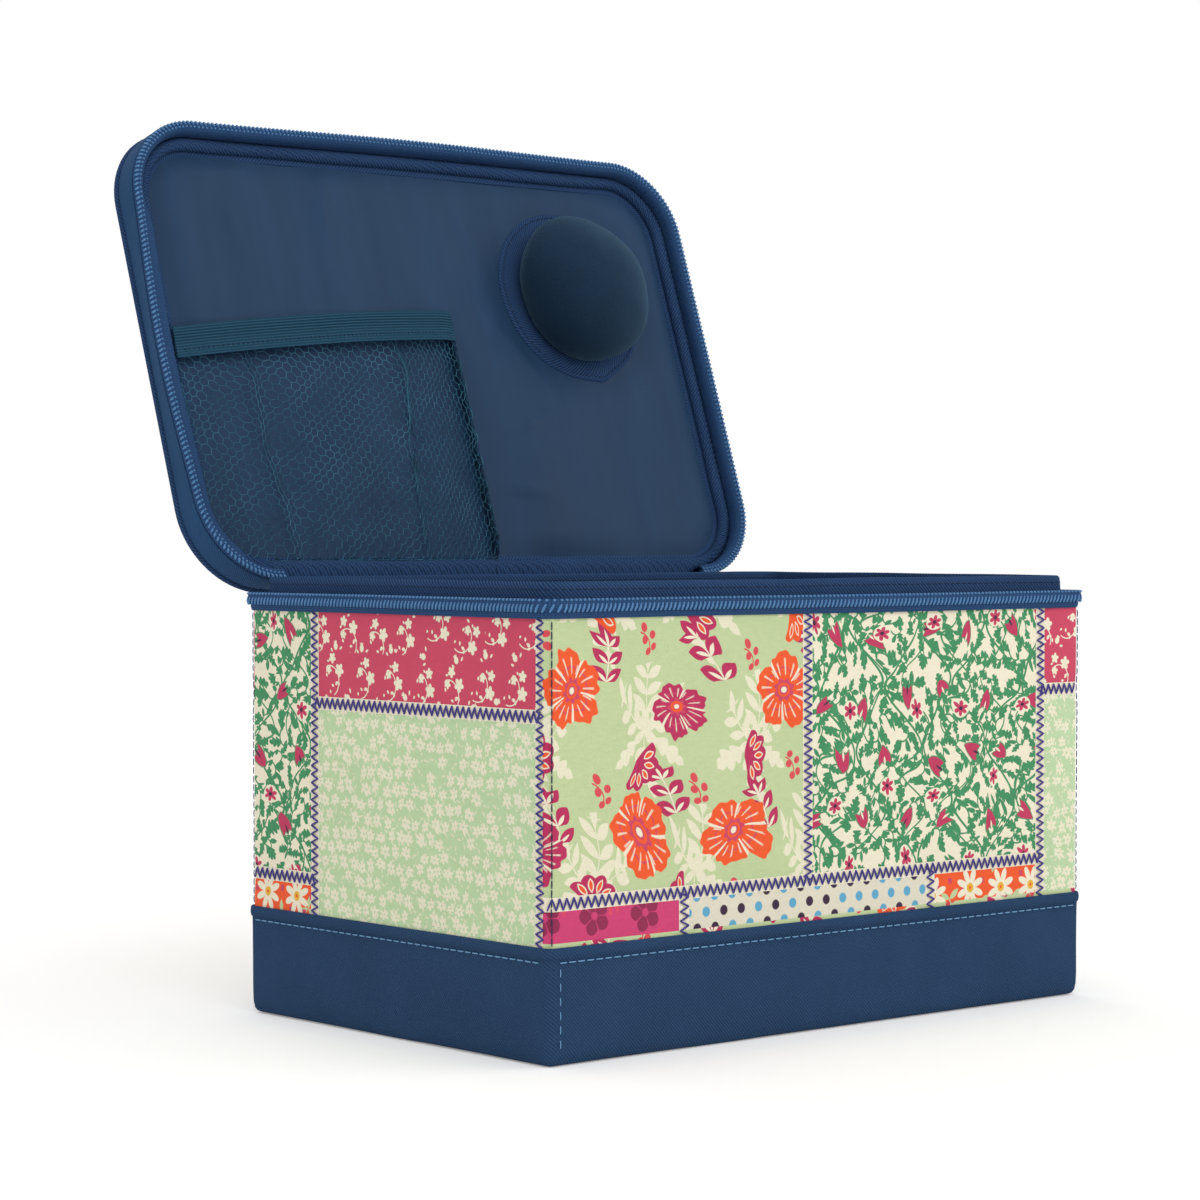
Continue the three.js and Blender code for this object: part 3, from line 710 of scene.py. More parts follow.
def lining_cloth(f):
    """Smooth, tightly woven lining with long soft folds, whose shade is painted into its colour."""
    x, y = f.cloth()
    weave = weave_of(x, y, 0.5)
    fold = f.noise(f.vector(x, y * 0.18), 20, 2)
    streak = f.noise(f.vector(x, y * 0.05), 5, 2)
    # Painted shade: the tone follows the folds' height, darker in their hollows and paler on their crests;
    # the streaks add long soft paler and darker streaks
    tone = (fold - 0.5) * 0.42 + (streak - 0.5) * 0.14 + weave * 0.04 + 1.0
    f.close(f.shade(colours().lining, tone), 0.58, weave * 0.3 + fold * 2, relief=0.12, strength=0.5,
            Specular_IOR_Level=0.22, Sheen_Weight=0.03, Sheen_Roughness=0.35)


def velvet_pile(f):
    """Short pile whose rim catches the light."""
    spot = f.place()
    pile = f.noise(spot, 1.1, 3, 0.6)
    brush = f.noise(spot, 11, 2)
    tone = (pile - 0.5) * 0.5 + (brush - 0.5) * 0.35 + 1.0
    f.close(f.shade(colours().velvet, tone), 0.9, pile, relief=0.35, strength=0.6, Specular_IOR_Level=0.05,
            Sheen_Weight=0.4, Sheen_Roughness=0.55, Sheen_Tint=rgb("7fa9c6"))


def net_thread(f):
    """Fine knitted thread, with painted shade: darker in broad patches where the net's folds would shade it.
    """
    spot = f.place()
    twist = f.noise(spot, 0.7, 2)
    patch = f.noise(spot, 15, 2)
    # Painted shade: the broad patches darken the thread for the shade in the net's folds; the twist is the
    # thread's own tone
    tone = (twist - 0.5) * 0.5 + (patch - 0.5) * 1.8 + 1.05
    f.close(f.shade(colours().net, tone.either(0.35)), 0.6, twist, relief=0.1, strength=0.5,
            Specular_IOR_Level=0.2)


def net_gather_painted_shade(f):
    """Crushed layers of net, with painted shade: a colour darker than the open net, and darker still in the
    crush's hollows.
    """
    spot = f.place()
    crush = f.noise(spot, 1.6, 4, 0.65)
    # Painted shade: the dark colour and the darker hollows of the crush stand in for the shade among the
    # crushed layers
    tone = (crush - 0.5) * 1.5 + 1.0
    f.close(f.shade(rgb("1c3850"), tone), 0.8, crush, relief=0.9, strength=0.9, Specular_IOR_Level=0.15)


def elastic_weave(f):
    """Fine ribs along the elastic."""
    x, y = f.cloth()
    rib = ribs(y, 1.3)
    cross = ribs(x, 1.1)
    fleck = f.noise(f.vector(x, y), 1.0, 2)
    tone = rib * 0.75 + cross * 0.14 + fleck * 0.3 + 0.42
    f.close(f.shade(colours().elastic, tone), 0.75, rib + cross * 0.2, relief=0.3, strength=0.8,
            Specular_IOR_Level=0.12)


def knitted_tape(f):
    """Knitted tape with fine upright ribs."""
    x, y = f.cloth()
    rib = ribs(x, 1.2)
    stitch_row = (y * (TURN / 0.9) + rib * 2).sine() * 0.5 + 0.5
    tone = rib * 0.25 + stitch_row * 0.4 + 0.65
    f.close(f.shade(colours().tape, tone), 0.8, rib * 0.6 + stitch_row, relief=0.22, strength=0.8,
            Specular_IOR_Level=0.12)


def coil_plastic(f):
    """Moulded teeth with a slight gloss."""
    spot = f.place()
    cloud = f.noise(spot, 3, 2)
    colour = f.shade(colours().teeth, (cloud - 0.5) * 0.3 + 1.0)
    f.close(colour, (cloud - 0.5) * 0.2 + 0.42, cloud, relief=0.05, strength=0.4, Specular_IOR_Level=0.3)


def enamel(f):
    """Enamelled metal, worn a little at random."""
    spot = f.place()
    cloud = f.noise(spot, 2.2, 4, 0.6)
    worn = (cloud - 0.63).edge(0.06)
    colour = f.mix(worn * 0.6, colours().metal, rgb("8f98a0"))
    f.close(colour, (cloud - 0.5) * 0.2 + 0.36, cloud, relief=0.04, strength=0.5, Metallic=0.75)


def sewing_thread(f, colour):
    """Plied sewing thread."""
    spot = f.place()
    ply = f.noise(spot, 0.6, 2)
    tone = (ply - 0.5) * 0.7 + 1.0
    f.close(f.shade(colour, tone), 0.6, ply, relief=0.08, strength=0.6, Specular_IOR_Level=0.25)


def grey_board(f):
    """Grey board with its fibres."""
    spot = f.place()
    fibre = f.noise(spot, 1.6, 4, 0.65)
    f.close(f.shade(colours().board, fibre * 0.3 + 0.85), 0.9, fibre, relief=0.1)


def wadding(f):
    """Soft open wadding."""
    spot = f.place()
    fibre = f.noise(spot, 3.5, 5, 0.7)
    f.close(f.shade(colours().foam, fibre * 0.3 + 0.85), 0.95, fibre, relief=0.6)


def hidden_twill(f):
    """Twill on a piece with no cloth of its own: ribs run across the object."""
    spot = f.place()
    split = f.add("ShaderNodeSeparateXYZ", None, {0: spot})
    rib = ribs(split + f.also(split, 1), 1.4)
    fleck = f.noise(spot, 1.2, 2)
    tone = rib * 0.25 + fleck * 0.3 + 0.7
    f.close(f.shade(colours().band, tone), 0.8, rib, relief=0.2, Specular_IOR_Level=0.15)


def pale_floor(f):
    """A pale floor that shows white where nothing shades it, keeps the object's shadow, and has painted shade
    round the object where its glow is weaker.
    """
    spot = f.place()
    cloud = f.noise(spot, 400, 2)
    colour = f.shade(rgb("f6f6f5"), (cloud - 0.5) * 0.02 + 1.0)
    cloth = f.add("ShaderNodeBsdfPrincipled", None, {
        "Base Color": colour, "Roughness": 0.95, "Specular IOR Level": 0.1})
    far = f.add("ShaderNodeVectorMath", {"operation": "LENGTH"}, {0: spot}, out=1)
    # Painted shade: near the object the floor glows less, so the floor reads greyer round it
    past_painted_shade = ((far - GLOW_START) / GLOW_REACH).math("SMOOTH_MIN", 1.0, 0.2, clamp=True)
    tint = f.mix(past_painted_shade, (GLOW_IN_PAINTED_SHADE,) * 3, (1, 1, 1))
    glow = f.add("ShaderNodeEmission", None, {"Color": tint, "Strength": FLOOR_GLOW})
    path = f.add("ShaderNodeLightPath")
    seen = path.either(f.also(path, "Is Glossy Ray"))
    lit = f.add("ShaderNodeAddShader", None, {0: cloth, 1: glow})
    f.end(f.add("ShaderNodeMixShader", None, {0: seen, 1: cloth, 2: lit}))


RECIPES = {
    "net_gather_painted_shade": net_gather_painted_shade,
    "hidden_twill": hidden_twill,
    "pale_floor": pale_floor,
    "collar_twill": lambda f: twill_cloth(f, colours().twill),
    "band_twill": lambda f: twill_cloth(f, colours().band, pitch=1.1, contrast=0.4),
    "rim_twill": lambda f: twill_cloth(f, rgb("2b4c72"), pitch=0.9, contrast=0.3),
    "lining_cloth": lining_cloth,
    "velvet_pile": velvet_pile,
    "net_thread": net_thread,
    "elastic_weave": elastic_weave,
    "knitted_tape": knitted_tape,
    "coil_plastic": coil_plastic,
    "zip_enamel": enamel,
    "zigzag_thread": lambda f: sewing_thread(f, colours().thread),
    "dash_thread": lambda f: sewing_thread(f, colours().dash),
    "seam_thread": lambda f: sewing_thread(f, rgb("1f2f4c")),
    "grey_board": grey_board,
    "wadding": wadding,
}


def finish(name):
    """The material of that name, made the first time it is asked for."""
    if name not in bpy.data.materials:
        f = Finish(bpy.data.materials.new(name))
        if name in PRINTS:
            print_cloth(f, PRINTS[name])
        else:
            RECIPES[name](f)
    return bpy.data.materials[name]


def lerp(low, high, share):
    """The place at a share of the way from low to high."""
    return low + (high - low) * share


def smooth(share):
    """Rises from 0 to 1 with level ends, as share does."""
    share = min(1.0, max(0.0, share))
    return share * share * (3 - 2 * share)


def bump(share):
    """0 at both ends of a stretch and 1 in its middle."""
    return math.sin(math.pi * min(1.0, max(0.0, share))) ** 2


def lump(*place, seed=0.0):
    """Smooth noise between about -1 and 1 at a place given in lumps."""
    return noise.noise(Vector((*place, *(0.0,) * (3 - len(place)))) + Vector((seed, 0.7 * seed, 1.3 * seed)))


def stations(low, high, step, *borders):
    """Places between two ends, about a step apart, with one at each border."""
    ends = sorted({low, high, *(border for border in borders if low < border < high)})
    places = [ends[0]]
    for start, end in zip(ends, ends[1:]):
        count = max(1, round((end - start) / step))
        places += [lerp(start, end, (i + 1) / count) for i in range(count)]
    return places


class RoundRect:
    """A rectangle with round corners, walked from the middle of its rear side to the left side, the front
    and the right side, so each side runs from left to right for somebody who looks at it from outside."""

    def __init__(self, half_x, half_y, radius, middle=0.0):
        self.half_x, self.half_y, self.radius, self.middle = half_x, half_y, radius, middle
        self.corner = radius * math.pi / 2
        half, deep = half_x - radius, 2 * (half_y - radius)
        self.sides = [half, deep, 2 * half, deep, half]
        self.starts = [sum(self.sides[:i]) + i * self.corner for i in range(5)]
        self.length = sum(self.sides) + 4 * self.corner

    def at(self, walked, out=0.0):
        """The place at a distance along the walk and out beyond it, and the direction outwards."""
        walked %= self.length
        spot, heading = Vector((0, self.middle + self.half_y)), math.pi
        for side in self.sides:
            along = Vector((math.cos(heading), math.sin(heading)))
            normal = Vector((along.y, -along.x))
            if walked <= side:
                return spot + along * walked + normal * out, normal
            walked -= side
            spot = spot + along * side
            if walked <= self.corner:
                turned = normal.copy()
                turned.rotate(Matrix.Rotation(walked / self.radius, 2))
                return spot - normal * self.radius + turned * (self.radius + out), turned
            walked -= self.corner
            spot = spot - normal * self.radius + along * self.radius
            heading += math.pi / 2
        return self.at(0, out)

    def walk(self, step, turns, start=0.0, end=None):
        """Stations along the walk, a step apart on the sides and with some turns in each corner."""
        end = self.length if end is None else end
        borders = []
        for lap in (0, self.length):
            for side_start, side in zip(self.starts[1:], self.sides):
                borders += [lap + side_start]
                borders += [lap + side_start - self.corner * (1 - i / turns) for i in range(turns)]
        return stations(start, end, step, *borders)


WALL = RoundRect(HALF_WIDTH, HALF_DEPTH, WALL_CORNER)
COLLAR = RoundRect(COLLAR_X, COLLAR_Y, COLLAR_CORNER)
ZIP = RoundRect(HALF_WIDTH + 0.9 * MM, HALF_DEPTH + 0.9 * MM, 6 * MM)
LID = RoundRect(LID_X, LID_Y, LID_CORNER, LID_MIDDLE)


def grid(bm, across, up, place, cloth_place=None):
    """A sheet of quads with its corners at place(a, b), and a UV map of its cloth's places in metres."""
    cloth = bm.loops.layers.uv.get("cloth") or bm.loops.layers.uv.new("cloth")
    made = bmesh.ops.create_grid(bm, x_segments=len(across) - 1, y_segments=len(up) - 1, size=0.5)["verts"]
    spots = {}
    for corner in made:
        a = across[round((corner.co.x + 0.5) * (len(across) - 1))]
        b = up[round((corner.co.y + 0.5) * (len(up) - 1))]
        corner.co = place(a, b)
        spots[corner] = cloth_place(a, b) if cloth_place else (a, b)
    faces = list({face for corner in made for face in corner.link_faces})
    for face in faces:
        for loop in face.loops:
            loop[cloth].uv = spots[loop.vert]
    bm.normal_update()
    return made, faces


def along_profile(profile):
    """How far along a profile each of its places lies."""
    gone = [0.0]
    for (x0, y0), (x1, y1) in zip(profile, profile[1:]):
        gone.append(gone[-1] + math.hypot(x1 - x0, y1 - y0))
    return gone


def ring(bm, path, walk, profile, move=None, closed=True):
    """A band with one profile, a list of (out, height) places, along stations of a path.
    move(walked, out, height) may change a place of the profile. Open ends are closed with a face."""
    profile = profile + profile[:1] if closed else profile
    gone = along_profile(profile)
    spots = dict(zip(gone, profile))

    def place(walked, share):
        out, height = spots[share]
        if move:
            out, height = move(walked, out, height)
        flat, _ = path.at(walked, out)
        return Vector((flat.x, flat.y, height))

    made, _ = grid(bm, walk, gone, place)
    bmesh.ops.remove_doubles(bm, verts=made, dist=SAME_SPOT)
    if closed and walk[-1] - walk[0] < path.length - MM / 1000:
        rims = [edge for edge in bm.edges if edge.is_boundary]
        bmesh.ops.holes_fill(bm, edges=rims, sides=0)


def rounded(x, y, half_x, half_y, radius):
    """Moves a place of a rectangle so that its corners become round."""
    over_x, over_y = abs(x) - (half_x - radius), abs(y) - (half_y - radius)
    if over_x <= 0 or over_y <= 0:
        return x, y
    share = max(over_x, over_y) / math.hypot(over_x, over_y)
    far_x, far_y = half_x - radius + over_x * share, half_y - radius + over_y * share
    return math.copysign(far_x, x), math.copysign(far_y, y)


def oval(count, middle, level, wide, deep):
    """A profile of some places round an oval."""
    turns = [TURN * i / count for i in range(count)]
    return [(middle + wide * math.cos(turn), level + deep * math.sin(turn)) for turn in turns]


class Bead:
    """A ball of a few faces, made once by an operator and then copied many times in other shapes."""

    def __init__(self, sides, rows):
        bm = bmesh.new()
        bmesh.ops.create_uvsphere(bm, u_segments=sides, v_segments=rows, radius=0.5)
        self.corners = [corner.co.copy() for corner in bm.verts]
        self.faces = [[corner.index for corner in face.verts] for face in bm.faces]
        bm.free()

    def copy(self, bm, change):
        made = [bm.verts.new(change(corner)) for corner in self.corners]
        for face in self.faces:
            bm.faces.new([made[i] for i in face])


STITCH_BEAD = Bead(6, 4)
TOOTH_BEAD = Bead(8, 5)


def stitch(bm, start, end, thick, normal):
    """One stitch of thread: a rounded bar between two places that arches a little off its cloth."""
    along = end - start
    stretch = max(0.0, along.length - thick) / 2
    side = along.cross(normal).normalized()
    axes = Matrix((side, normal, along.normalized())).transposed().to_4x4()
    matrix = Matrix.Translation((start + end) / 2) @ axes

    def change(corner):
        x, y, z = corner * thick
        if abs(z) > thick / 100:
            return matrix @ Vector((x, y, z + math.copysign(stretch, z)))
        return matrix @ Vector((x, y + thick / 5, z))

    STITCH_BEAD.copy(bm, change)


def zigzag(bm, place, start, end, wide, pitch, thick):
    """Stitches from side to side of a seam, between two places that place(a, b, lift) puts in space."""
    start, end = Vector(start), Vector(end)
    along = end - start
    count = max(2, round(along.length / (pitch / 2)))
    across = Vector((-along.y, along.x)).normalized() * (wide / 2)
    spots = []
    for i in range(count + 1):
        flat = start + along * (i / count) + across * (1 if i % 2 else -1)
        spots.append(place(flat.x, flat.y, thick * 0.35))
    for (one, normal), (other, _) in zip(spots, spots[1:]):
        stitch(bm, one, other, thick, normal)


def dashes(bm, place, start, end, dash, gap, thick):
    """A row of straight stitches between two places, put in space in the same way."""
    start, end = Vector(start), Vector(end)
    count = max(1, round((end - start).length / (dash + gap)))
    for i in range(count):
        low = start.lerp(end, (i + 0.5 * gap / (dash + gap)) / count)
        high = start.lerp(end, (i + 1 - 0.5 * gap / (dash + gap)) / count)
        one, normal = place(low.x, low.y, thick * 0.3)
        other, _ = place(high.x, high.y, thick * 0.3)
        stitch(bm, one, other, thick, normal)


def on_ring(path, height, out, move=None):
    """A placer for stitches on a band: along the walk and up, at a fixed distance out."""
    def place(walked, up, lift):
        reach, level = out, height + up
        if move:
            reach, level = move(walked, reach, level)
        flat, normal = path.at(walked, reach + lift)
        return Vector((flat.x, flat.y, level)), Vector((normal.x, normal.y, 0))
    return place


def make_piece(name, bm, materials, body, slot, replaces=(), sharp=50, outward=True):
    """Ends a bmesh as a piece that rides on a body. A piece of the lid is turned open with it."""
    if outward:
        bmesh.ops.recalc_face_normals(bm, faces=bm.faces[:])
    if body == "lid":
        bmesh.ops.transform(bm, matrix=TURNED, verts=bm.verts[:])
    mesh = bpy.data.meshes.new(name)
    bm.to_mesh(mesh)
    bm.free()
    for material in materials:
        mesh.materials.append(finish(material))
    mesh.polygons.foreach_set("use_smooth", [True] * len(mesh.polygons))
    mesh.set_sharp_from_angle(angle=math.radians(sharp))
    piece = bpy.data.objects.new(name, mesh)
    bpy.context.scene.collection.objects.link(piece)
    if body:
        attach(piece, body)
    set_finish(piece, slot)
    if replaces:
        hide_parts(*replaces)
    return piece


def band_piece(name, path, walk, profile, move, material, body, slot, replaces=()):
    """A piece that is one band along a path."""
    bm = bmesh.new()
    ring(bm, path, walk, profile, move)
    make_piece(name, bm, [material], body, slot, replaces)


def panel_place(start, bulge):
    """A placer for a wall's cloth: across from the panel's left edge, and up from the floor."""
    def place(across, up, lift=0.0):
        flat, normal = WALL.at(start + across, bulge(across, up) + lift)
        return Vector((flat.x, flat.y, up)), Vector((normal.x, normal.y, 0))
    return place


# A wall's patches, as (left, right, low, high, print), and its zigzag seams, as (left, low, right, high)
WRAP = WALL.corner - WALL_CORNER
SEAM_COVER = 2.7 * MM


def long_wall_cut(width, low, top):
    """The patches and seams of a long wall, measured from the left edge of its front face."""
    left, right = -WRAP, width + WRAP
    seam_up, middle, side = 61 * MM, 135.5 * MM, 275 * MM
    foot_one, foot_two, split = 68.6 * MM, 207 * MM, 133 * MM
    patches = [
        (left, middle, seam_up, top, "sage_floral_print"),
        (middle, side, seam_up, top, "cream_vine_print"),
        (side, right, split, top, "red_blossom_print"),
        (side, right, low, split, "green_ditsy_print"),
        (left, foot_one, low, seam_up, "pink_tone_print"),
        (foot_one, foot_two, low, seam_up, "polka_dot_print"),
        (foot_two, side, low, seam_up, "orange_flower_print"),
    ]
    seams = [
        (middle, seam_up, middle, top), (side, low, side, top), (0.0, seam_up, side, seam_up),
        (side, split, width - 3 * MM, split), (foot_one, low, foot_one, seam_up),
        (foot_two, low, foot_two, seam_up),
    ]
    return patches, seams


def short_wall_cut(width, low, top):
    """The patches and seams of a short wall, measured from its left edge."""
    first, last = 42 * MM, width - 1.9 * MM
    seam_left, seam_right = 59 * MM, 131 * MM
    patches = [
        (0.0, first, seam_left, top, "cream_vine_print"),
        (0.0, first, low, seam_left, "orange_flower_print"),
        (first, last, seam_right, top, "red_blossom_print"),
        (first, last, low, seam_right, "green_ditsy_print"),
        (last, width, low, top, "sage_floral_print"),
    ]
    seams = [
        (first, low, first, top), (last, low, last, top),
        (0.0, seam_left, first, seam_left), (first, seam_right, last, seam_right),
    ]
    return patches, seams


def patched_cloth(bm, place, cut, ends, step, cloth_place=None):
    """A printed cloth cut to its patches, with plain cloth under each zigzag seam."""
    patches, seams = cut
    # Each patch ends under a seam, whose two borders cut the cloth; these stations only make it finer
    across = [x for patch in patches for x in (patch[0], patch[2])]
    up = [y for patch in patches for y in (patch[1], patch[3])]
    for x0, y0, x1, _ in seams:
        borders, middle = (across, x0) if x0 == x1 else (up, y0)
        borders += [middle - SEAM_COVER, middle + SEAM_COVER]
    left, right, low, high = ends
    columns, rows = stations(left, right, step, *across), stations(low, high, step, *up)
    _, faces = grid(bm, columns, rows, place, cloth_place)
    cloth = bm.loops.layers.uv["cloth"]
    names = [*PRINTS]
    for face in faces:
        spots = [loop[cloth].uv for loop in face.loops]
        x = sum(spot.x for spot in spots) / len(spots)
        y = sum(spot.y for spot in spots) / len(spots)
        face.material_index = names.index(patch_at(x, y, patches, seams))
    return names


def patch_at(x, y, patches, seams):
    """The print at a place of a cut cloth, or the plain cloth under its seams."""
    for x0, y0, x1, y1 in seams:
        wide = (x0 - SEAM_COVER < x < x0 + SEAM_COVER and y0 < y < y1) if x0 == x1 else (
            y0 - SEAM_COVER < y < y0 + SEAM_COVER and x0 < x < x1)
        if wide:
            return "cream_seam_cloth"
    for left, right, low, high, name in patches:
        if left <= x <= right and low <= y <= high:
            return name
    return patches[0][4]


def seam_groove(seams):
    """How far the cloth sinks beside its zigzag seams, so that each patch looks softly filled."""
    def bulge(across, up):
        near = min(
            abs(across - x0) + max(0.0, y0 - up, up - y1) if x0 == x1
            else abs(up - y0) + max(0.0, x0 - across, across - x1)
            for x0, y0, x1, y1 in seams)
        return 0.5 * MM * smooth(near / (9 * MM)) - 0.1 * MM + 0.25 * MM * lump(across * 22, up * 22, seed=2)
    return bulge


def add_zigzags(name, place, seams, body):
    """The zigzag stitches over the seams between a cloth's patches."""
    size = sizes()
    bm = bmesh.new()
    for start, end in seams:
        zigzag(bm, place, start, end, size.zigzag_width, size.zigzag_pitch, size.thread)
    make_piece(name, bm, ["zigzag_thread"], body, "print_cotton")


def add_print_panels():
    low, top = BAND_TOP - 2 * MM, PRINT_TOP
    long_width, short_width = 2 * HALF_WIDTH, 2 * (HALF_DEPTH - WALL_CORNER)
    walls = [
        ("rear", WALL.starts[4] - WALL_CORNER, long_width, long_wall_cut),
        ("left", WALL.starts[1], short_width, short_wall_cut),
        ("front", WALL.starts[2] - WALL_CORNER, long_width, long_wall_cut),
        ("right", WALL.starts[3], short_width, short_wall_cut),
    ]
    for name, start, width, cut_of in walls:
        cut = cut_of(width, BAND_TOP, top)
        place = panel_place(start, seam_groove(cut[1]))
        wrap = WRAP if cut_of is long_wall_cut else 0.0
        bm = bmesh.new()
        ends = (-wrap, width + wrap, low, top)
        names = patched_cloth(bm, lambda a, b: place(a, b)[0], cut, ends, 4 * MM)
        bmesh.ops.solidify(bm, geom=bm.faces[:], thickness=PRINT_THICK)
        make_piece(f"{name}_printed_cloth", bm, names, "case", "print_cotton", (f"{name}_print_panel",),
                   outward=False)
        seams = [((x0, y0), (x1, y1)) for x0, y0, x1, y1 in cut[1]]
        add_zigzags(f"{name}_zigzag_seams", place, seams, "case")
        if cut_of is long_wall_cut:
            bm = bmesh.new()
            for edge in (1.6 * MM, width - 1.6 * MM):
                dashes(bm, place, (edge, BAND_TOP + MM), (edge, top - MM), 3.2 * MM, 0.4 * MM, 0.55 * MM)
            make_piece(f"{name}_corner_stitches", bm, ["seam_thread"], "case", "print_cotton")


# The band round the foot of the walls: it curls under at its foot and ends in a folded lip at its top
BAND_PROFILE = [
    (-3.9, 0.5), (-2.6, 0.35), (-1.2, 0.9), (-0.2, 2.2), (0.45, 5.0), (0.7, 10.0), (0.75, 24.0), (0.75, 36.0),
    (0.85, 40.3), (1.45, 40.9), (1.7, 42.4), (1.55, 44.2), (1.0, 44.9), (0.4, 44.6), (0.25, 42.0),
    (0.1, 30.0), (0.05, 8.0), (-1.2, 3.0), (-3.9, 1.5),
]
BAND_STITCH_DROP = 5.3 * MM


def band_wave(walked, out, height):
    """The band's cloth is slack between its seams, and its foot is a little uneven."""
    middle = bump((height - 4 * MM) / (36 * MM))
    slack = 0.55 * MM * middle * lump(walked * 14, height * 25, seed=5)
    foot = 0.35 * MM * (1 - smooth(height / (6 * MM))) * lump(walked * 30, seed=9)
    return out + slack, max(0.15 * MM, height + foot)


def add_base():
    profile = [(out * MM, height * MM) for out, height in BAND_PROFILE]
    band_piece("base_band_cloth", WALL, WALL.walk(4 * MM, 4), profile, band_wave,
               "band_twill", "case", "navy_twill", ("base_band",))
    bm = bmesh.new()
    size = sizes()
    place = on_ring(WALL, BAND_TOP - BAND_STITCH_DROP, 0.95 * MM)
    for start, side in zip(WALL.starts, WALL.sides):
        dashes(bm, place, (start + MM, 0), (start + side - MM, 0), size.dash, size.dash_gap, 0.62 * MM)
    up = on_ring(WALL, 0.0, 0.8 * MM)
    for walked in (WALL.starts[2] + 2 * MM, WALL.starts[4] - WALL.corner - 2 * MM):
        dashes(bm, up, (walked, 6 * MM), (walked, 38 * MM), size.dash, 2.4 * MM, 0.5 * MM)
    make_piece("base_band_stitches", bm, ["dash_thread"], "case", "navy_twill")


def add_case_lining():
    """Soft lining inside the four walls, and the covered board that lies loose on the base."""
    inner = RoundRect(HALF_WIDTH - LINING_IN + 0.4 * MM, HALF_DEPTH - LINING_IN + 0.4 * MM, 2.5 * MM)
    levels = [lerp(5.6 * MM, PRINT_TOP + 0.2 * MM, i / 24) for i in range(25)]
    profile = [(0.0, level) for level in levels]

    def fold(walked, out, height):
        share = bump((height - levels[0]) / (levels[-1] - levels[0]))
        folds = 0.5 * lump(walked * 30, height * 5, seed=3) + 0.5 * lump(walked * 12, height * 12, seed=8)
        return out + 0.35 * MM * share * folds, height

    bm = bmesh.new()
    ring(bm, inner, inner.walk(5 * MM, 3), profile, fold, closed=False)
    bmesh.ops.remove_doubles(bm, verts=bm.verts[:], dist=SAME_SPOT)
    bmesh.ops.recalc_face_normals(bm, faces=bm.faces[:])
    bmesh.ops.reverse_faces(bm, faces=bm.faces[:])
    bmesh.ops.solidify(bm, geom=bm.faces[:], thickness=LINING_THICK)
    walls = ("front_lining", "rear_lining", "left_lining", "right_lining")
    make_piece("wall_lining_cloth", bm, ["lining_cloth"], "case", "lining", walls, outward=False)

    half_x, half_y = INSERT_X - 0.2 * MM, INSERT_Y - 0.2 * MM
    low = INSERT_TOP - 3.3 * MM

    def place(a, b):
        x, y = rounded(a, b, half_x, half_y, 5 * MM)
        rim = min(half_x - abs(a), half_y - abs(b))
        fall = 1.2 * MM * (1 - smooth(rim / (5 * MM)))
        return Vector((x, y, INSERT_TOP - fall + 0.25 * MM * lump(x * 20, y * 20, seed=4)))

    bm = bmesh.new()
    grid(bm, stations(-half_x, half_x, 6 * MM, -half_x + 2 * MM, half_x - 2 * MM),
         stations(-half_y, half_y, 6 * MM, -half_y + 2 * MM, half_y - 2 * MM), place)
    rim = bmesh.ops.extrude_edge_only(bm, edges=[edge for edge in bm.edges if edge.is_boundary])["geom"]
    for corner in (part for part in rim if isinstance(part, bmesh.types.BMVert)):
        corner.co.z = low
    bmesh.ops.holes_fill(bm, edges=[edge for edge in bm.edges if edge.is_boundary], sides=0)
    make_piece("base_insert_cloth", bm, ["lining_cloth"], "case", "lining", ("base_insert",))


# The collar's section: two layers of twill with a soft fold along the top
COLLAR_PROFILE = [
    (0.0, 0.0), (0.1, 3.0), (0.15, 7.0), (0.1, 10.6), (0.0, 12.2), (-0.5, 13.1), (-1.1, 13.4), (-1.7, 13.0),
    (-2.0, 12.0), (-2.1, 9.0), (-2.05, 4.0), (-2.0, -2.0), (-1.2, -2.0), (0.0, -1.0),
]


def collar_wave(walked, out, height):
    """The collar leans a little in and out, and its top edge rises and dips."""
    share = smooth((height - COLLAR_LOW) / (COLLAR_TOP - COLLAR_LOW))
    corner = bump((walked - COLLAR.starts[1] + COLLAR.corner + 6 * MM) / (COLLAR.corner + 12 * MM))
    lean = share * (0.45 * MM * lump(walked * 11, seed=12) - 0.35 * MM + 0.2 * MM * corner)
    pulled = bump((walked - COLLAR.starts[1] + 40 * MM) / (110 * MM))
    rise = share * (0.3 * MM * lump(walked * 17, seed=14) + 0.1 * MM * pulled)
    pucker = 0.12 * MM * lump(walked * 160, height * 60, seed=15)
    return out + lean + pucker, height + rise


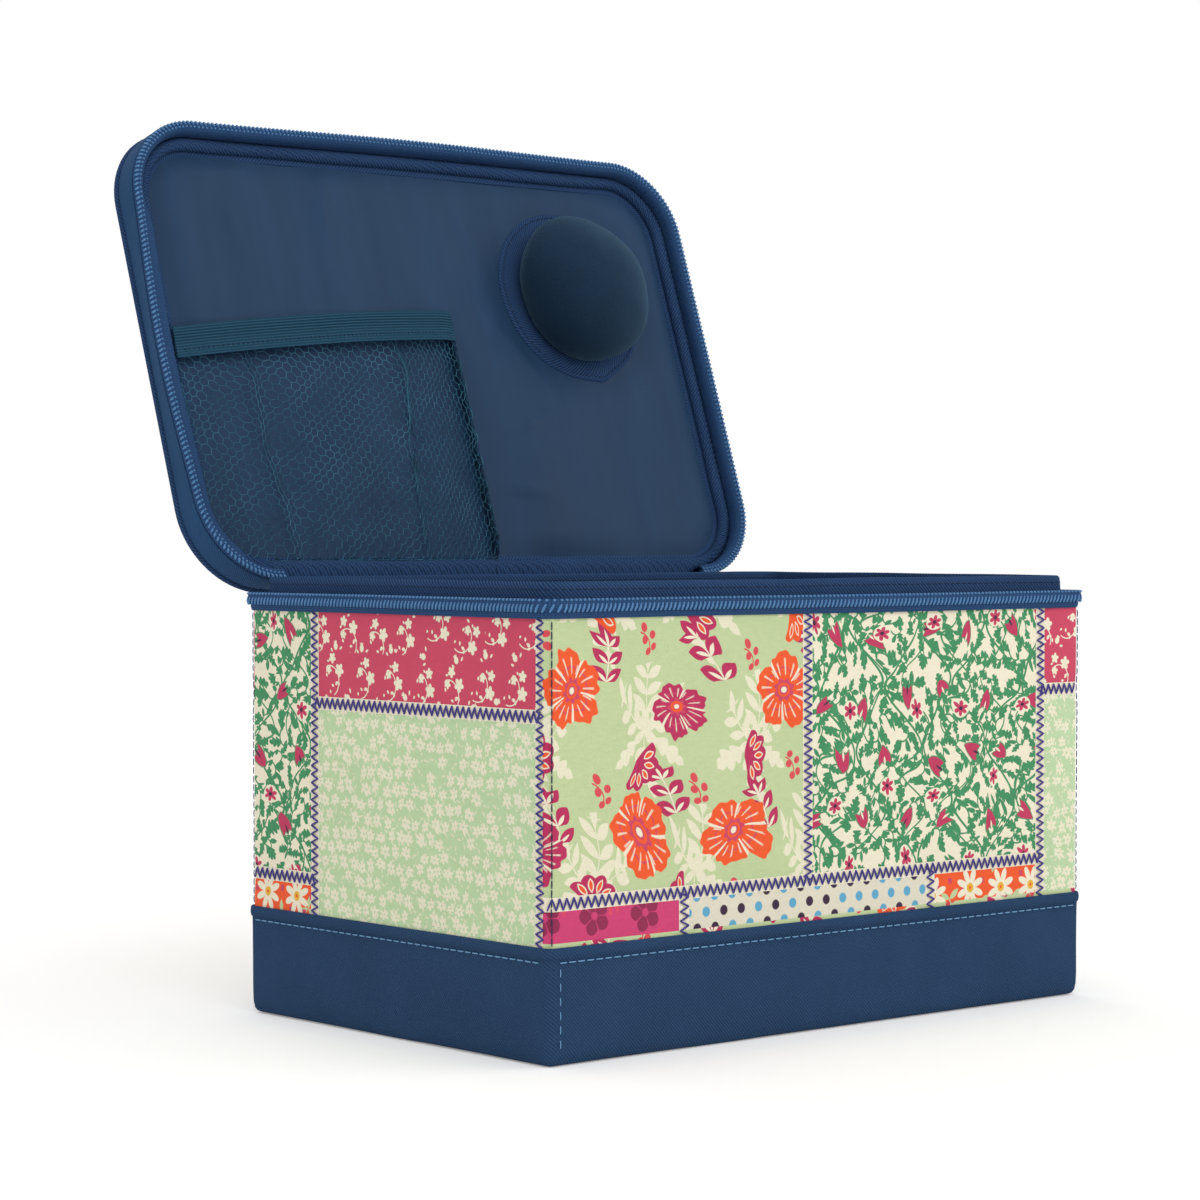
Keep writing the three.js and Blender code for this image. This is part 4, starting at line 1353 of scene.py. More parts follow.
def add_collar():
    profile = [(out * MM, COLLAR_LOW + height * MM) for out, height in COLLAR_PROFILE]
    seam_right = COLLAR.starts[4] - COLLAR.corner - 4 * MM
    seam_left = COLLAR.starts[1] + 4 * MM
    lengths = [
        ("front_collar_cloth", seam_left, seam_right,
         ("front_collar", "left_collar", "right_collar", "front_left_collar", "front_right_collar")),
        ("rear_collar_cloth", seam_right, COLLAR.length + seam_left,
         ("rear_collar", "rear_left_collar", "rear_right_collar")),
    ]
    for name, start, end, nodes in lengths:
        def tucked(walked, out, height, start=start, end=end):
            """At its ends the cloth turns in towards the seam."""
            near = min(walked - start, end - walked)
            out, height = collar_wave(walked, out, height)
            return out - 0.35 * MM * (1 - smooth(near / (2.5 * MM))), height

        band_piece(name, COLLAR, COLLAR.walk(3 * MM, 6, start, end), profile, tucked,
                   "collar_twill", "case", "navy_twill", nodes)
    bm = bmesh.new()
    for out in (0.12 * MM, -2.25 * MM):
        side = on_ring(COLLAR, COLLAR_TOP - 2.6 * MM, out, collar_wave)
        dashes(bm, side, (0, 0), (COLLAR.length, 0), 2.6 * MM, 0.9 * MM, 0.38 * MM)
    make_piece("collar_topstitch", bm, ["seam_thread"], "case", "navy_twill")


# The case's half of the zip: its tape falls over the wall's top edge, and the coil stands on it
CASE_TAPE_PROFILE = [
    (-4.0, 3.5), (-1.6, 4.3), (0.2, 4.1), (0.9, 3.3), (1.15, 2.2), (1.1, 1.2), (0.9, 0.5), (0.8, 0.0),
    (0.4, -0.5), (-0.2, -0.5), (-0.4, 0.0), (-0.5, 1.0), (-0.8, 2.4), (-3.8, 2.7),
]


def half_zip(name, body, path, ends, upright, coil, tape, move):
    """A row of teeth on a knitted tape. coil is (inner, outer, low, high), the room that the row fills."""
    inner, outer, low, high = coil
    core = oval(10, (inner + outer) / 2, (low + high) / 2, (outer - inner) * 0.45, (high - low) * 0.43)
    start, end = ends
    walk = path.walk(2.6 * MM, 6, start, end)
    band_piece(f"{name}_tape_cloth", path, walk, tape, move, "knitted_tape", body, "zip_tape",
               (f"{name}_tape",))
    band_piece(f"{name}_coil_core", path, walk, core, move, "knitted_tape", body, "zip_tape")

    bm = bmesh.new()
    count = round((end - start) / sizes().tooth_pitch)
    for i in range(count):
        walked = lerp(start, end, (i + 0.5) / count)
        tooth(bm, path, walked, coil, upright, (end - start) / count, move)
    make_piece(f"{name}_coil_teeth", bm, ["coil_plastic"], body, "zip_coil", (f"{name}_coil",))


def tooth(bm, path, walked, coil, upright, pitch, move):
    """One tooth: a slanting rib over the coil's visible side, and a round head beyond it.
    On an upright row that side faces out and the head is at the top; else it faces the lid's open side."""
    inner, outer, low, high = coil
    thick = pitch * 0.52
    lean = pitch * 0.42

    def spot(shift, share, sink):
        if upright:
            out, level = outer - sink, lerp(low, high, share)
        else:
            out, level = lerp(outer, inner, share), low + sink
        out, level = move(walked + shift, out, level)
        flat, normal = path.at(walked + shift, out)
        facing = Vector((normal.x, normal.y, 0)) if upright else Vector((0, 0, -1))
        return Vector((flat.x, flat.y, level)), facing

    one, facing = spot(-lean, 0.05, thick * 0.42)
    other, _ = spot(lean * 0.5, 0.60, thick * 0.40)
    stitch(bm, one, other, thick, facing)
    top, _ = spot(lean * 0.6, 0.82, thick * 0.55)
    turned = Matrix.Translation(top) @ facing.to_track_quat("Y", "Z").to_matrix().to_4x4()
    head = turned @ Matrix.Diagonal((1.05 * thick, 1.4 * thick, 1.0 * thick, 1))
    TOOTH_BEAD.copy(bm, lambda corner: head @ corner)


def soften(walked, out, height):
    """The case's zip wanders a little up and down, as it does on a soft wall."""
    return out + 0.25 * MM * lump(walked * 9, seed=21), height + 0.35 * MM * lump(walked * 8, seed=22)


def add_case_zip():
    gap = HINGE_HALF + 0.4 * MM
    tape = [(out * MM, COLLAR_LOW + height * MM) for out, height in CASE_TAPE_PROFILE]
    coil = (COIL_OUT - 3.2 * MM, COIL_OUT, COIL_LOW - 2.4 * MM, COIL_TOP + 0.2 * MM)
    half_zip("case_zip", "case", ZIP, (gap, ZIP.length - gap), True, coil, tape, soften)


def add_hinge():
    """The strip of twill that the lid hangs on, which bends between the case and the lid."""
    axis = Vector((0, AXIS.y, AXIS.z))
    wall = COLLAR_Y + 0.6 * MM
    reach = 2.3 * MM
    case_side = [(wall, COIL_TOP - 0.6 * MM), (lerp(wall, axis.y, 0.35), COIL_TOP - 0.9 * MM),
                 (lerp(wall, axis.y, 0.7), COIL_TOP - 0.8 * MM)]
    rolled = []
    for i in range(9):
        turn = math.radians(lerp(-105, 45, i / 8))
        rolled.append((axis.y + reach * math.cos(turn), axis.z + reach * math.sin(turn)))
    lid_side = []
    for depth in (2.4, 5.0, 8.0):
        spot = TURNED @ Vector((0, LID_BACK + 0.5 * MM, LID_FACE + depth * MM))
        lid_side.append((spot.y, spot.z))
    line = case_side + rolled[:6] + lid_side
    gone = along_profile(line)
    spots = dict(zip(gone, line))

    def place(a, b):
        y, z = spots[b]
        return Vector((a, y, z + 0.15 * MM * lump(a * 60, b * 40, seed=31)))

    bm = bmesh.new()
    half = HINGE_HALF - 0.4 * MM
    grid(bm, stations(-half, half, 4 * MM), gone, place)
    bmesh.ops.solidify(bm, geom=bm.faces[:], thickness=HINGE_THICK)
    strip = make_piece("hinge_cloth", bm, ["collar_twill"], None, "navy_twill", ("hinge_strip",))
    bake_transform(strip)


def lid_depth(height):
    """How deep a place of the closed lid lies, from its open face towards its cover."""
    return height - LID_FACE


def lid_bow(walked, share=1.0):
    """How far the lid's left side bows out."""
    start, length = LID.starts[1] - LID.corner * 0.6, LID.sides[1] + LID.corner * 1.2
    return share * sizes().lid_bow * bump((walked - start) / length)


def lid_wave(walked, out, height):
    """The lid's open edge bows out on its left side and wanders a little, and its covered edge is firm."""
    soft = 1 - smooth(lid_depth(height) / RIM_END)
    bow = lid_bow(walked)
    front = 1.2 * MM * bump((walked - LID.starts[2]) / LID.sides[2])
    return out + soft * (bow + front + 0.4 * MM * lump(walked * 8, seed=41)), height


# The lid's rim band, as (out, depth)
RIM_PROFILE = [
    (-0.6, 3.1), (0.0, 3.4), (0.35, 5.0), (0.5, 8.0), (0.5, 11.5), (0.3, 14.6), (-0.2, 15.9), (-1.4, 15.9),
    (-1.9, 14.0), (-2.1, 10.0), (-2.2, 5.0), (-1.8, 3.2),
]


def lid_profile(profile):
    return [(out * MM, LID_FACE + depth * MM) for out, depth in profile]


def add_lid_shell():
    """Rim band, piping and padded printed cover."""
    def pucker(walked, out, height):
        out, height = lid_wave(walked, out, height)
        share = bump((lid_depth(height) - 3 * MM) / (13 * MM))
        return out + 0.3 * MM * share * lump(walked * 26, height * 40, seed=43), height

    band_piece("lid_rim_cloth", LID, LID.walk(4 * MM, 10), lid_profile(RIM_PROFILE), pucker,
               "rim_twill", "lid", "navy_twill", ("lid_rim_band",))
    cord = lid_profile(oval(10, -0.35, 17.15, 1.55, -1.35))
    band_piece("lid_piping_cord", LID, LID.walk(3 * MM, 10), cord, None,
               "collar_twill", "lid", "navy_twill", ("lid_piping",))

    margin = 1.4 * MM
    half_x, half_y, corner = LID_X - margin, LID_Y - margin, LID_CORNER - margin
    patches, seams = lid_cut(2 * LID_X, 2 * LID_Y)
    groove = seam_groove(seams)

    def flat(a, b):
        x, y = rounded(a - LID_X, b - LID_Y, half_x, half_y, corner)
        return x + LID_X, y + LID_Y

    def surface(a, b, lift=0.0):
        x, y = flat(a, b)
        rim = min(half_x - abs(a - LID_X), half_y - abs(b - LID_Y))
        crown = sizes().cover_crown * smooth(rim / (34 * MM)) + 2.4 * groove(x, y) * smooth(rim / (12 * MM))
        top = LID_FACE + 16.9 * MM + 1.1 * MM * smooth(rim / (3 * MM)) + crown
        return Vector((x - LID_X, LID_MIDDLE - LID_Y + y, top + lift)), Vector((0, 0, 1))

    bm = bmesh.new()
    ends = (margin, 2 * LID_X - margin, margin, 2 * LID_Y - margin)
    names = patched_cloth(bm, lambda a, b: surface(a, b)[0], (patches, seams), ends, 4 * MM, flat)
    bmesh.ops.reverse_faces(bm, faces=[face for face in bm.faces if face.normal.z < 0])
    bmesh.ops.solidify(bm, geom=bm.faces[:], thickness=COVER_THICK)
    make_piece("lid_printed_cover", bm, names, "lid", "print_cotton", ("lid_cover",), outward=False)
    edge = 3 * MM
    sewn = [((max(x0, edge), max(y0, edge)), (min(x1, 2 * LID_X - edge), min(y1, 2 * LID_Y - edge)))
            for x0, y0, x1, y1 in seams]
    add_zigzags("lid_zigzag_seams", surface, sewn, "lid")


def lid_cut(width, deep):
    """The patches and seams of the lid's cover, from its front left corner."""
    one, two = 104 * MM, 226 * MM
    left, middle, right_low, right_high = 84 * MM, 132 * MM, 60 * MM, 148 * MM
    patches = [
        (0.0, one, 0.0, left, "green_ditsy_print"),
        (0.0, one, left, deep, "red_blossom_print"),
        (one, two, 0.0, middle, "sage_floral_print"),
        (one, two, middle, deep, "cream_vine_print"),
        (two, width, 0.0, right_low, "polka_dot_print"),
        (two, width, right_low, right_high, "orange_flower_print"),
        (two, width, right_high, deep, "pink_tone_print"),
    ]
    seams = [
        (one, 0.0, one, deep), (two, 0.0, two, deep), (0.0, left, one, left), (one, middle, two, middle),
        (two, right_low, width, right_low), (two, right_high, width, right_high),
    ]
    return patches, seams


# The lid's zip tape, and the flat part of it that shows along the left side, as (out, depth)
LID_TAPE_PROFILE = [
    (-2.4, 0.5), (-3.6, 0.7), (-4.7, 1.6), (-5.2, 3.4), (-5.0, 6.0), (-4.4, 8.6), (-3.7, 8.6), (-4.0, 6.0),
    (-4.2, 3.8), (-3.8, 2.4), (-2.6, 2.0),
]
LID_TAPE_FACING = [
    (-4.2, 2.6), (-5.4, 3.6), (-7.4, 4.1), (-8.8, 4.6), (-9.5, 5.4), (-9.6, 6.4), (-9.1, 6.5), (-9.0, 5.7),
    (-8.6, 5.2), (-5.4, 4.7), (-4.2, 4.2),
]


def add_lid_zip():
    gap = HINGE_HALF + 9 * MM
    coil = (-3.3 * MM, 0.3 * MM, LID_FACE, LID_FACE + LID_COIL)
    tape = lid_profile(LID_TAPE_PROFILE)
    half_zip("lid_zip", "lid", LID, (gap, LID.length - gap), False, coil, tape, lid_wave)
    start, end = LID.starts[1] - LID.corner * 0.8, LID.starts[2] - LID.corner * 0.85

    def narrow(walked, out, height):
        """The tape's flat part runs out at both ends of the left side."""
        share = smooth((walked - start) / (14 * MM)) * smooth((end - walked) / (26 * MM))
        out = lerp(-4.6 * MM, out, 0.12 + 0.88 * share) if out < -4.6 * MM else out
        out, height = lid_wave(walked, out, height)
        return out, height + 0.22 * MM * lump(walked * 24, out * 300, seed=46)

    band_piece("lid_zip_tape_facing", LID, LID.walk(2.6 * MM, 6, start, end), lid_profile(LID_TAPE_FACING),
               narrow, "knitted_tape", "lid", "zip_tape")


def add_lid_lining():
    """The lining, its rolled binding and the flat edge of the binding that is sewn to it."""
    half_x, half_y, corner = LID_X - 6.5 * MM, LID_Y - 6.5 * MM, LID_CORNER - 6.5 * MM

    def place(a, b):
        x, y = rounded(a, b, half_x, half_y, corner)
        up = LID_Y - y
        rim = min(half_x - abs(a), half_y - abs(b))
        fold = 2.4 * MM * lump(x * 17, y * 5.0, seed=51) + 1.5 * MM * lump(x * 36, y * 11, seed=53)
        ray = lining_crease(x, up)
        off = math.hypot(x - CUSHION.x, LID_MIDDLE + y - CUSHION.y)
        free = 0.12 + 0.88 * smooth((off - RING_HIGH.x + CUSHION.x) / (16 * MM))
        fold += 1.5 * MM * max(0.0, 1 - 2.4 * abs(lump(x * 15 + y * 7, y * 5, seed=55))) ** 2
        covered = smooth((POCKET_RIGHT + 8 * MM - x) / (10 * MM))
        covered *= smooth((MOUTH_RIGHT + 4 * MM - up) / (10 * MM))
        free *= 1 - 0.65 * covered
        depth = LID_HOLLOW - smooth(rim / (16 * MM)) * (0.3 * MM + free * max(0.0, 1.7 * MM + fold + ray))
        return Vector((x, LID_MIDDLE + y, LID_FACE + depth))

    bm = bmesh.new()
    grid(bm, stations(-half_x, half_x, 3.2 * MM), stations(-half_y, half_y, 3.2 * MM), place)
    bmesh.ops.reverse_faces(bm, faces=[face for face in bm.faces if face.normal.z > 0])
    bmesh.ops.solidify(bm, geom=bm.faces[:], thickness=LID_LINING_THICK)
    make_piece("lid_lining_cloth", bm, ["lining_cloth"], "lid", "lining", ("lid_lining",), outward=False)

    middle, thick = (BINDING_OUT + BINDING_IN) / 2, (BINDING_IN - BINDING_OUT) / 2
    level = (BINDING_LOW + LID_HOLLOW) / 2
    roll = oval(14, -middle, LID_FACE + level, thick, 2.75 * MM)

    def pucker(walked, out, height):
        round_off = (out + middle) / thick
        lean = walked / (2.7 * MM) + 0.28 * round_off + 1.4 * lump(walked * 22, seed=55)
        gather = math.sin(TURN * lean) * (0.6 + 0.7 * lump(walked * 30, seed=57))
        open_side = smooth((level + 1.6 * MM - lid_depth(height)) / (2.4 * MM))
        out, height = lid_wave(walked, out, height)
        corner = max(bump((walked - start + LID.corner * 1.2) / (LID.corner * 1.4))
                     for start in LID.starts[2:4])
        swell = (0.6 + 1.0 * corner) * MM * lump(walked * 28, seed=56)
        from_middle = min(walked % LID.length, LID.length - walked % LID.length)
        foot = 3.6 * MM * smooth((HINGE_HALF + 16 * MM - from_middle) / (16 * MM)) * smooth(round_off / 0.9)
        out = out + swell * (0.4 - round_off * 0.6) + foot
        return out, height + open_side * (0.55 * MM * gather + 0.4 * swell)

    band_piece("lid_binding_roll", LID, LID.walk(0.9 * MM, 40), roll, pucker,
               "collar_twill", "lid", "lining", ("lid_binding",))
    flat = [(1.2, 10.2), (-0.2, 9.9), (-1.4, 10.0), (-2.1, 10.5), (-1.9, 11.4), (1.2, 11.3)]
    flat = [(out * MM - BINDING_IN, LID_FACE + depth * MM) for out, depth in flat]
    band_piece("lid_binding_edge", LID, LID.walk(3 * MM, 12), flat, lid_wave, "collar_twill", "lid", "lining")


# Fine creases of the lining, as (x, up, direction, length): by the net's right side and the pincushion
CREASES = [
    (12, 100, 0.9, 60), (12, 92, 0.6, 45), (12, 70, 0.25, 70), (12, 48, -0.2, 40), (60, 92, 2.2, 50),
    (35, 150, 1.9, 46), (-60, 150, 1.4, 60), (-100, 140, 1.8, 50),
]


def lining_crease(x, up):
    """How deep the lining's creases are at a place."""
    depth = 0.0
    for start_x, start_up, lean, length in CREASES:
        along, across = swung(x - start_x * MM, up - start_up * MM, lean)
        if 0 < along < length * MM:
            depth += 1.5 * MM * bump(along / (length * MM)) * math.exp(-(across / (2.0 * MM)) ** 2)
    return depth


# The pocket's outline, seen in the closed lid: heights count up from the hinged edge
POCKET_LEFT = NET_LOW.x
POCKET_RIGHT = NET_HIGH.x
POCKET_FOOT = LID_BACK - NET_HIGH.y
POCKET_CORNER = 20 * MM
ELASTIC_WIDE = 13 * MM
MOUTH_RIGHT = LID_BACK - ELASTIC_LOW.y - ELASTIC_WIDE
MOUTH_LEFT = LID_BACK - ELASTIC_HIGH.y - 0.3 * MM
NET_DEPTH = closed_box("pocket_net")[1].z - LID_FACE
MOUTH_CURVE = 2.4 * MM
# The net's cells are this much closer together over this width at its right side
NET_CROWD = 1.5
NET_CROWDED = 42 * MM
NET_TURN = math.radians(38)


def mouth_height(x):
    """Height of the elastic's foot: it rises from the left and then runs almost level."""
    share = (x - POCKET_LEFT) / (POCKET_RIGHT - POCKET_LEFT)
    level = lerp(MOUTH_LEFT - 3.8 * MM, MOUTH_RIGHT - 2.4 * MM, share)
    return level + MOUTH_CURVE * math.sin(math.pi * min(1.0, max(0.0, share)))


# Upright folds of the net: place at the mouth and at the foot, depth and width
NET_FOLDS = [(-22 * MM, -35 * MM, 3.6 * MM, 3.2 * MM), (-110 * MM, -105 * MM, 2.4 * MM, 3.4 * MM)]


def fold_middle(fold, up):
    """The middle of an upright fold at a height."""
    top, foot = fold[:2]
    middle = lerp(foot, top, (up - POCKET_FOOT) / (MOUTH_RIGHT - POCKET_FOOT))
    return middle + 3 * MM * lump(up * 26, seed=top * 900)


def net_wave(x, up):
    """The turn of the net's small folds, which rise to the right."""
    return (x * 0.66 - up * 0.75) / (2.6 * MM) + 2.4 * lump(x * 14, up * 14, seed=61)


def net_drape(x, up):
    """How deep the net hangs: in folds that rise to the right, and in its upright folds."""
    across = (x - POCKET_LEFT) / (POCKET_RIGHT - POCKET_LEFT)
    above = (up - POCKET_FOOT) / (mouth_height(x) - POCKET_FOOT)
    free = smooth((up - POCKET_FOOT - 8 * MM) / (20 * MM)) * smooth((1 - above) / 0.08)
    free = free * smooth(across / 0.06) * smooth((1 - across) / 0.05)
    diagonal = math.sin(net_wave(x, up))
    broad = math.sin((x * 0.72 - up * 0.70) / (8 * MM) + 2.2 * lump(x * 9, up * 9, seed=63))
    depth = NET_DEPTH + 0.4 * MM - free * (0.55 * MM * diagonal + 1.2 * MM * broad + 0.3 * MM)
    for fold in NET_FOLDS:
        depth += fold[2] * math.exp(-((x - fold_middle(fold, up)) / fold[3]) ** 2) * smooth(above / 0.12)
    tight = math.exp(-((x - POCKET_RIGHT) / (9 * MM)) ** 2)
    return depth + 0.9 * MM * tight * math.sin(up / (1.9 * MM)) + 1.6 * MM * smooth((above - 0.86) / 0.14)


def net_pull(x, up):
    """Where a place of the net's own cloth lies: drawn into its folds, and crowded towards its right side."""
    crowd = POCKET_RIGHT - NET_CROWDED
    if x > crowd:
        x = crowd + (x - crowd) / NET_CROWD
    push = 0.75 * MM * math.cos(net_wave(x, up)) + 1.5 * MM * lump(x * 34, up * 34, seed=66)
    x, up = x + 0.66 * push, up - 0.75 * push + 0.9 * MM * lump(x * 50, up * 50, seed=67)
    for fold in NET_FOLDS:
        off = x - fold_middle(fold, up)
        x -= 0.62 * off * math.exp(-(off / (2.2 * fold[3])) ** 2)
    return x, up


def pocket_point(x, up, depth):
    """A place of the pocket in the closed lid, whose left side bows out with the lid's own."""
    low = 1 - smooth((up - POCKET_FOOT) / (90 * MM))
    bow = lid_bow(LID.starts[1] + up - LID_CORNER, 0.8) + (2.0 + 3.0 * low) * MM
    near = 1 - smooth((x - POCKET_LEFT) / (60 * MM))
    x -= 4.4 * MM * smooth((x - POCKET_RIGHT + 60 * MM) / (60 * MM))
    foot = 1 - smooth((up - POCKET_FOOT) / (8 * MM))
    sunk = (2.2 * foot + 1.3 * near) * MM
    return Vector((x - bow * near, LID_BACK - up + 2.0 * foot * MM, LID_FACE + depth + sunk))


def inside_foot(x, up, room):
    """Moves a place of the net inside the rounded corner at its lower left."""
    corner_x, corner_up = POCKET_LEFT + POCKET_CORNER, POCKET_FOOT + POCKET_CORNER
    x = min(max(x, POCKET_LEFT + room), POCKET_RIGHT - room)
    up = max(up, POCKET_FOOT + room)
    if x < corner_x and up < corner_up:
        far = math.hypot(x - corner_x, up - corner_up)
        reach = POCKET_CORNER - room
        if far > reach:
            x = corner_x + (x - corner_x) * reach / far
            up = corner_up + (up - corner_up) * reach / far
    return x, up


def add_pocket():
    size = sizes()
    cell = size.mesh_cell
    radius, row_step = cell / math.sqrt(3), cell * math.sqrt(3) / 2
    bm = bmesh.new()
    middle = Vector(((POCKET_LEFT + POCKET_RIGHT) / 2, (POCKET_FOOT + MOUTH_RIGHT) / 2))
    reach = int((POCKET_RIGHT - POCKET_LEFT) / row_step)
    for row in range(-reach, reach + 1):
        for column in range(-reach, reach + 1):
            u, v = (column + 0.5 * (row % 2)) * cell, row * row_step
            x = middle.x + u * math.cos(NET_TURN) - v * math.sin(NET_TURN)
            up = middle.y + u * math.sin(NET_TURN) + v * math.cos(NET_TURN)
            inside = POCKET_LEFT - cell < x < POCKET_RIGHT + cell + NET_CROWDED * (NET_CROWD - 1)
            if inside and POCKET_FOOT - cell < up < mouth_height(x) + cell:
                spot = Matrix.Translation((x, up, 0)) @ Matrix.Rotation(NET_TURN, 4, "Z")
                bmesh.ops.create_circle(bm, cap_ends=True, radius=radius, segments=6, matrix=spot)
    bmesh.ops.remove_doubles(bm, verts=bm.verts[:], dist=cell / 20)
    for corner in bm.verts:
        x, up = net_pull(corner.co.x, corner.co.y)
        x, up = inside_foot(x, min(up, mouth_height(x) + 3 * MM), 0.5 * MM)
        corner.co = pocket_point(x, up, net_drape(x, up))
    bmesh.ops.remove_doubles(bm, verts=bm.verts[:], dist=0.1 * MM)
    bmesh.ops.dissolve_degenerate(bm, dist=0.05 * MM, edges=bm.edges[:])
    bmesh.ops.wireframe(bm, faces=bm.faces[:], thickness=size.mesh_thread, offset=0, use_replace=True,
                        use_boundary=True, use_even_offset=False, use_crease=False, crease_weight=0,
                        use_relative_offset=False, material_offset=0)
    net = make_piece("pocket_mesh", bm, ["net_thread"], "lid", "pocket_net", ("pocket_net",), sharp=80)

    gathers = add_pocket_gathers()
    elastic = add_pocket_elastic()
    width, length = POCKET_RIGHT - POCKET_LEFT, MOUTH_RIGHT - POCKET_FOOT
    flat = (width * 1.08, length * 1.04)
    0.3 * flat[0] * flat[1]


def pocket_line():
    """Places along the pocket's left side, foot and right side, each with its direction outwards."""
    line = []
    for up in stations(POCKET_FOOT + POCKET_CORNER, MOUTH_LEFT + ELASTIC_WIDE, 1.6 * MM)[::-1]:
        line.append((POCKET_LEFT, up, -1, 0))
    for i in range(1, 14):
        turn = math.pi + i * math.pi / 28
        cosine, sine = math.cos(turn), math.sin(turn)
        line.append((POCKET_LEFT + POCKET_CORNER + POCKET_CORNER * cosine,
                     POCKET_FOOT + POCKET_CORNER + POCKET_CORNER * sine, cosine, sine))
    for x in stations(POCKET_LEFT + POCKET_CORNER, POCKET_RIGHT - 3 * MM, 1.6 * MM):
        line.append((x, POCKET_FOOT, 0, -1))
    line.append((POCKET_RIGHT - 0.9 * MM, POCKET_FOOT + 0.9 * MM, 0.7, -0.7))
    for up in stations(POCKET_FOOT + 3 * MM, MOUTH_RIGHT + ELASTIC_WIDE - 2 * MM, 1.1 * MM):
        line.append((POCKET_RIGHT, up, 1, 0))
    return line


def add_pocket_gathers():
    """The net's sides, bunched where they are sewn to the lining."""
    line = pocket_line()
    section = [(-1.3, 6.4), (-0.4, 5.9), (0.4, 6.6), (0.9, 8.4), (1.4, 10.2), (2.2, 11.2), (0.6, 11.5),
               (-0.9, 10.8), (-1.3, 8.6)]

    def place(a, b):
        b = round(b) % len(section)
        x, up, out_x, out_up = line[round(a)]
        out, depth = section[b]
        crush = 0.9 * lump(a * 0.9, b * 0.35, seed=71) + 0.7 * lump(a * 2.3, b * 0.5, seed=72)
        reach = (out * (0.7 if out_x < 0 else 1) + crush * 0.9) * MM
        return pocket_point(x + out_x * reach, up + out_up * reach, (depth + 0.5 * crush) * MM)

    bm = bmesh.new()
    columns, rows = list(range(len(line))), list(range(len(section) + 1))
    made, _ = grid(bm, columns, rows, place, lambda a, b: (a * MM, b * MM))
    bmesh.ops.remove_doubles(bm, verts=made, dist=0.01 * MM)
    bmesh.ops.holes_fill(bm, edges=[edge for edge in bm.edges if edge.is_boundary], sides=0)
    return make_piece("pocket_gathers", bm, ["net_gather_painted_shade"], "lid", "pocket_net", ("pocket_border",))


def add_pocket_elastic():
    """Ribbed elastic along the pocket's mouth, with its row of stitches."""
    rib_count, steps = 10, 4
    low, high = ELASTIC_LOW.z - LID_FACE, NET_DEPTH
    rise = ELASTIC_WIDE + 1.4 * MM

    def face(x, up_share, lift):
        wave = 0.7 * MM * lump(x * 22, seed=75) * bump((x - POCKET_LEFT) / (POCKET_RIGHT - POCKET_LEFT))
        tack = 1.5 * MM * (1 - smooth((POCKET_RIGHT - x) / (8 * MM)))
        up = mouth_height(x) + 0.2 * MM + up_share * rise
        return pocket_point(x, up, low + 0.3 * MM + wave + tack - lift)

    def place(a, b):
        ridge = abs(math.sin(math.pi * b * rib_count)) ** 0.6
        return face(a, b, 0.28 * MM * ridge)

    bm = bmesh.new()
    rows = [i / (rib_count * steps) for i in range(rib_count * steps + 1)]
    grid(bm, stations(POCKET_LEFT, POCKET_RIGHT, 2.2 * MM), rows, place, lambda a, b: (a, b * rise))
    bmesh.ops.reverse_faces(bm, faces=[part for part in bm.faces if part.normal.z > 0])
    bmesh.ops.solidify(bm, geom=bm.faces[:], thickness=high - low - 0.5 * MM)
    elastic = make_piece("pocket_elastic_band", bm, ["elastic_weave"], "lid", "elastic", ("pocket_elastic",),
                         outward=False)

    def stitch_place(a, b, lift):
        return face(a, b, 0.30 * MM + lift), Vector((0, 0, -1))

    bm = bmesh.new()
    start, end = (POCKET_LEFT + 3 * MM, 0.24), (POCKET_RIGHT - 2 * MM, 0.24)
    dashes(bm, stitch_place, start, end, 1.0 * MM, 1.3 * MM, 0.55 * MM)
    row = make_piece("pocket_elastic_stitches", bm, ["seam_thread"], "lid", "elastic")
    return [elastic, row]


# The stuffed cloth is wider and lower than the plain dome that stands for it
DOME_SPREAD = 4.4 * MM
DOME_DROP = 8.0 * MM
DOME_SAG = 2.0 * MM


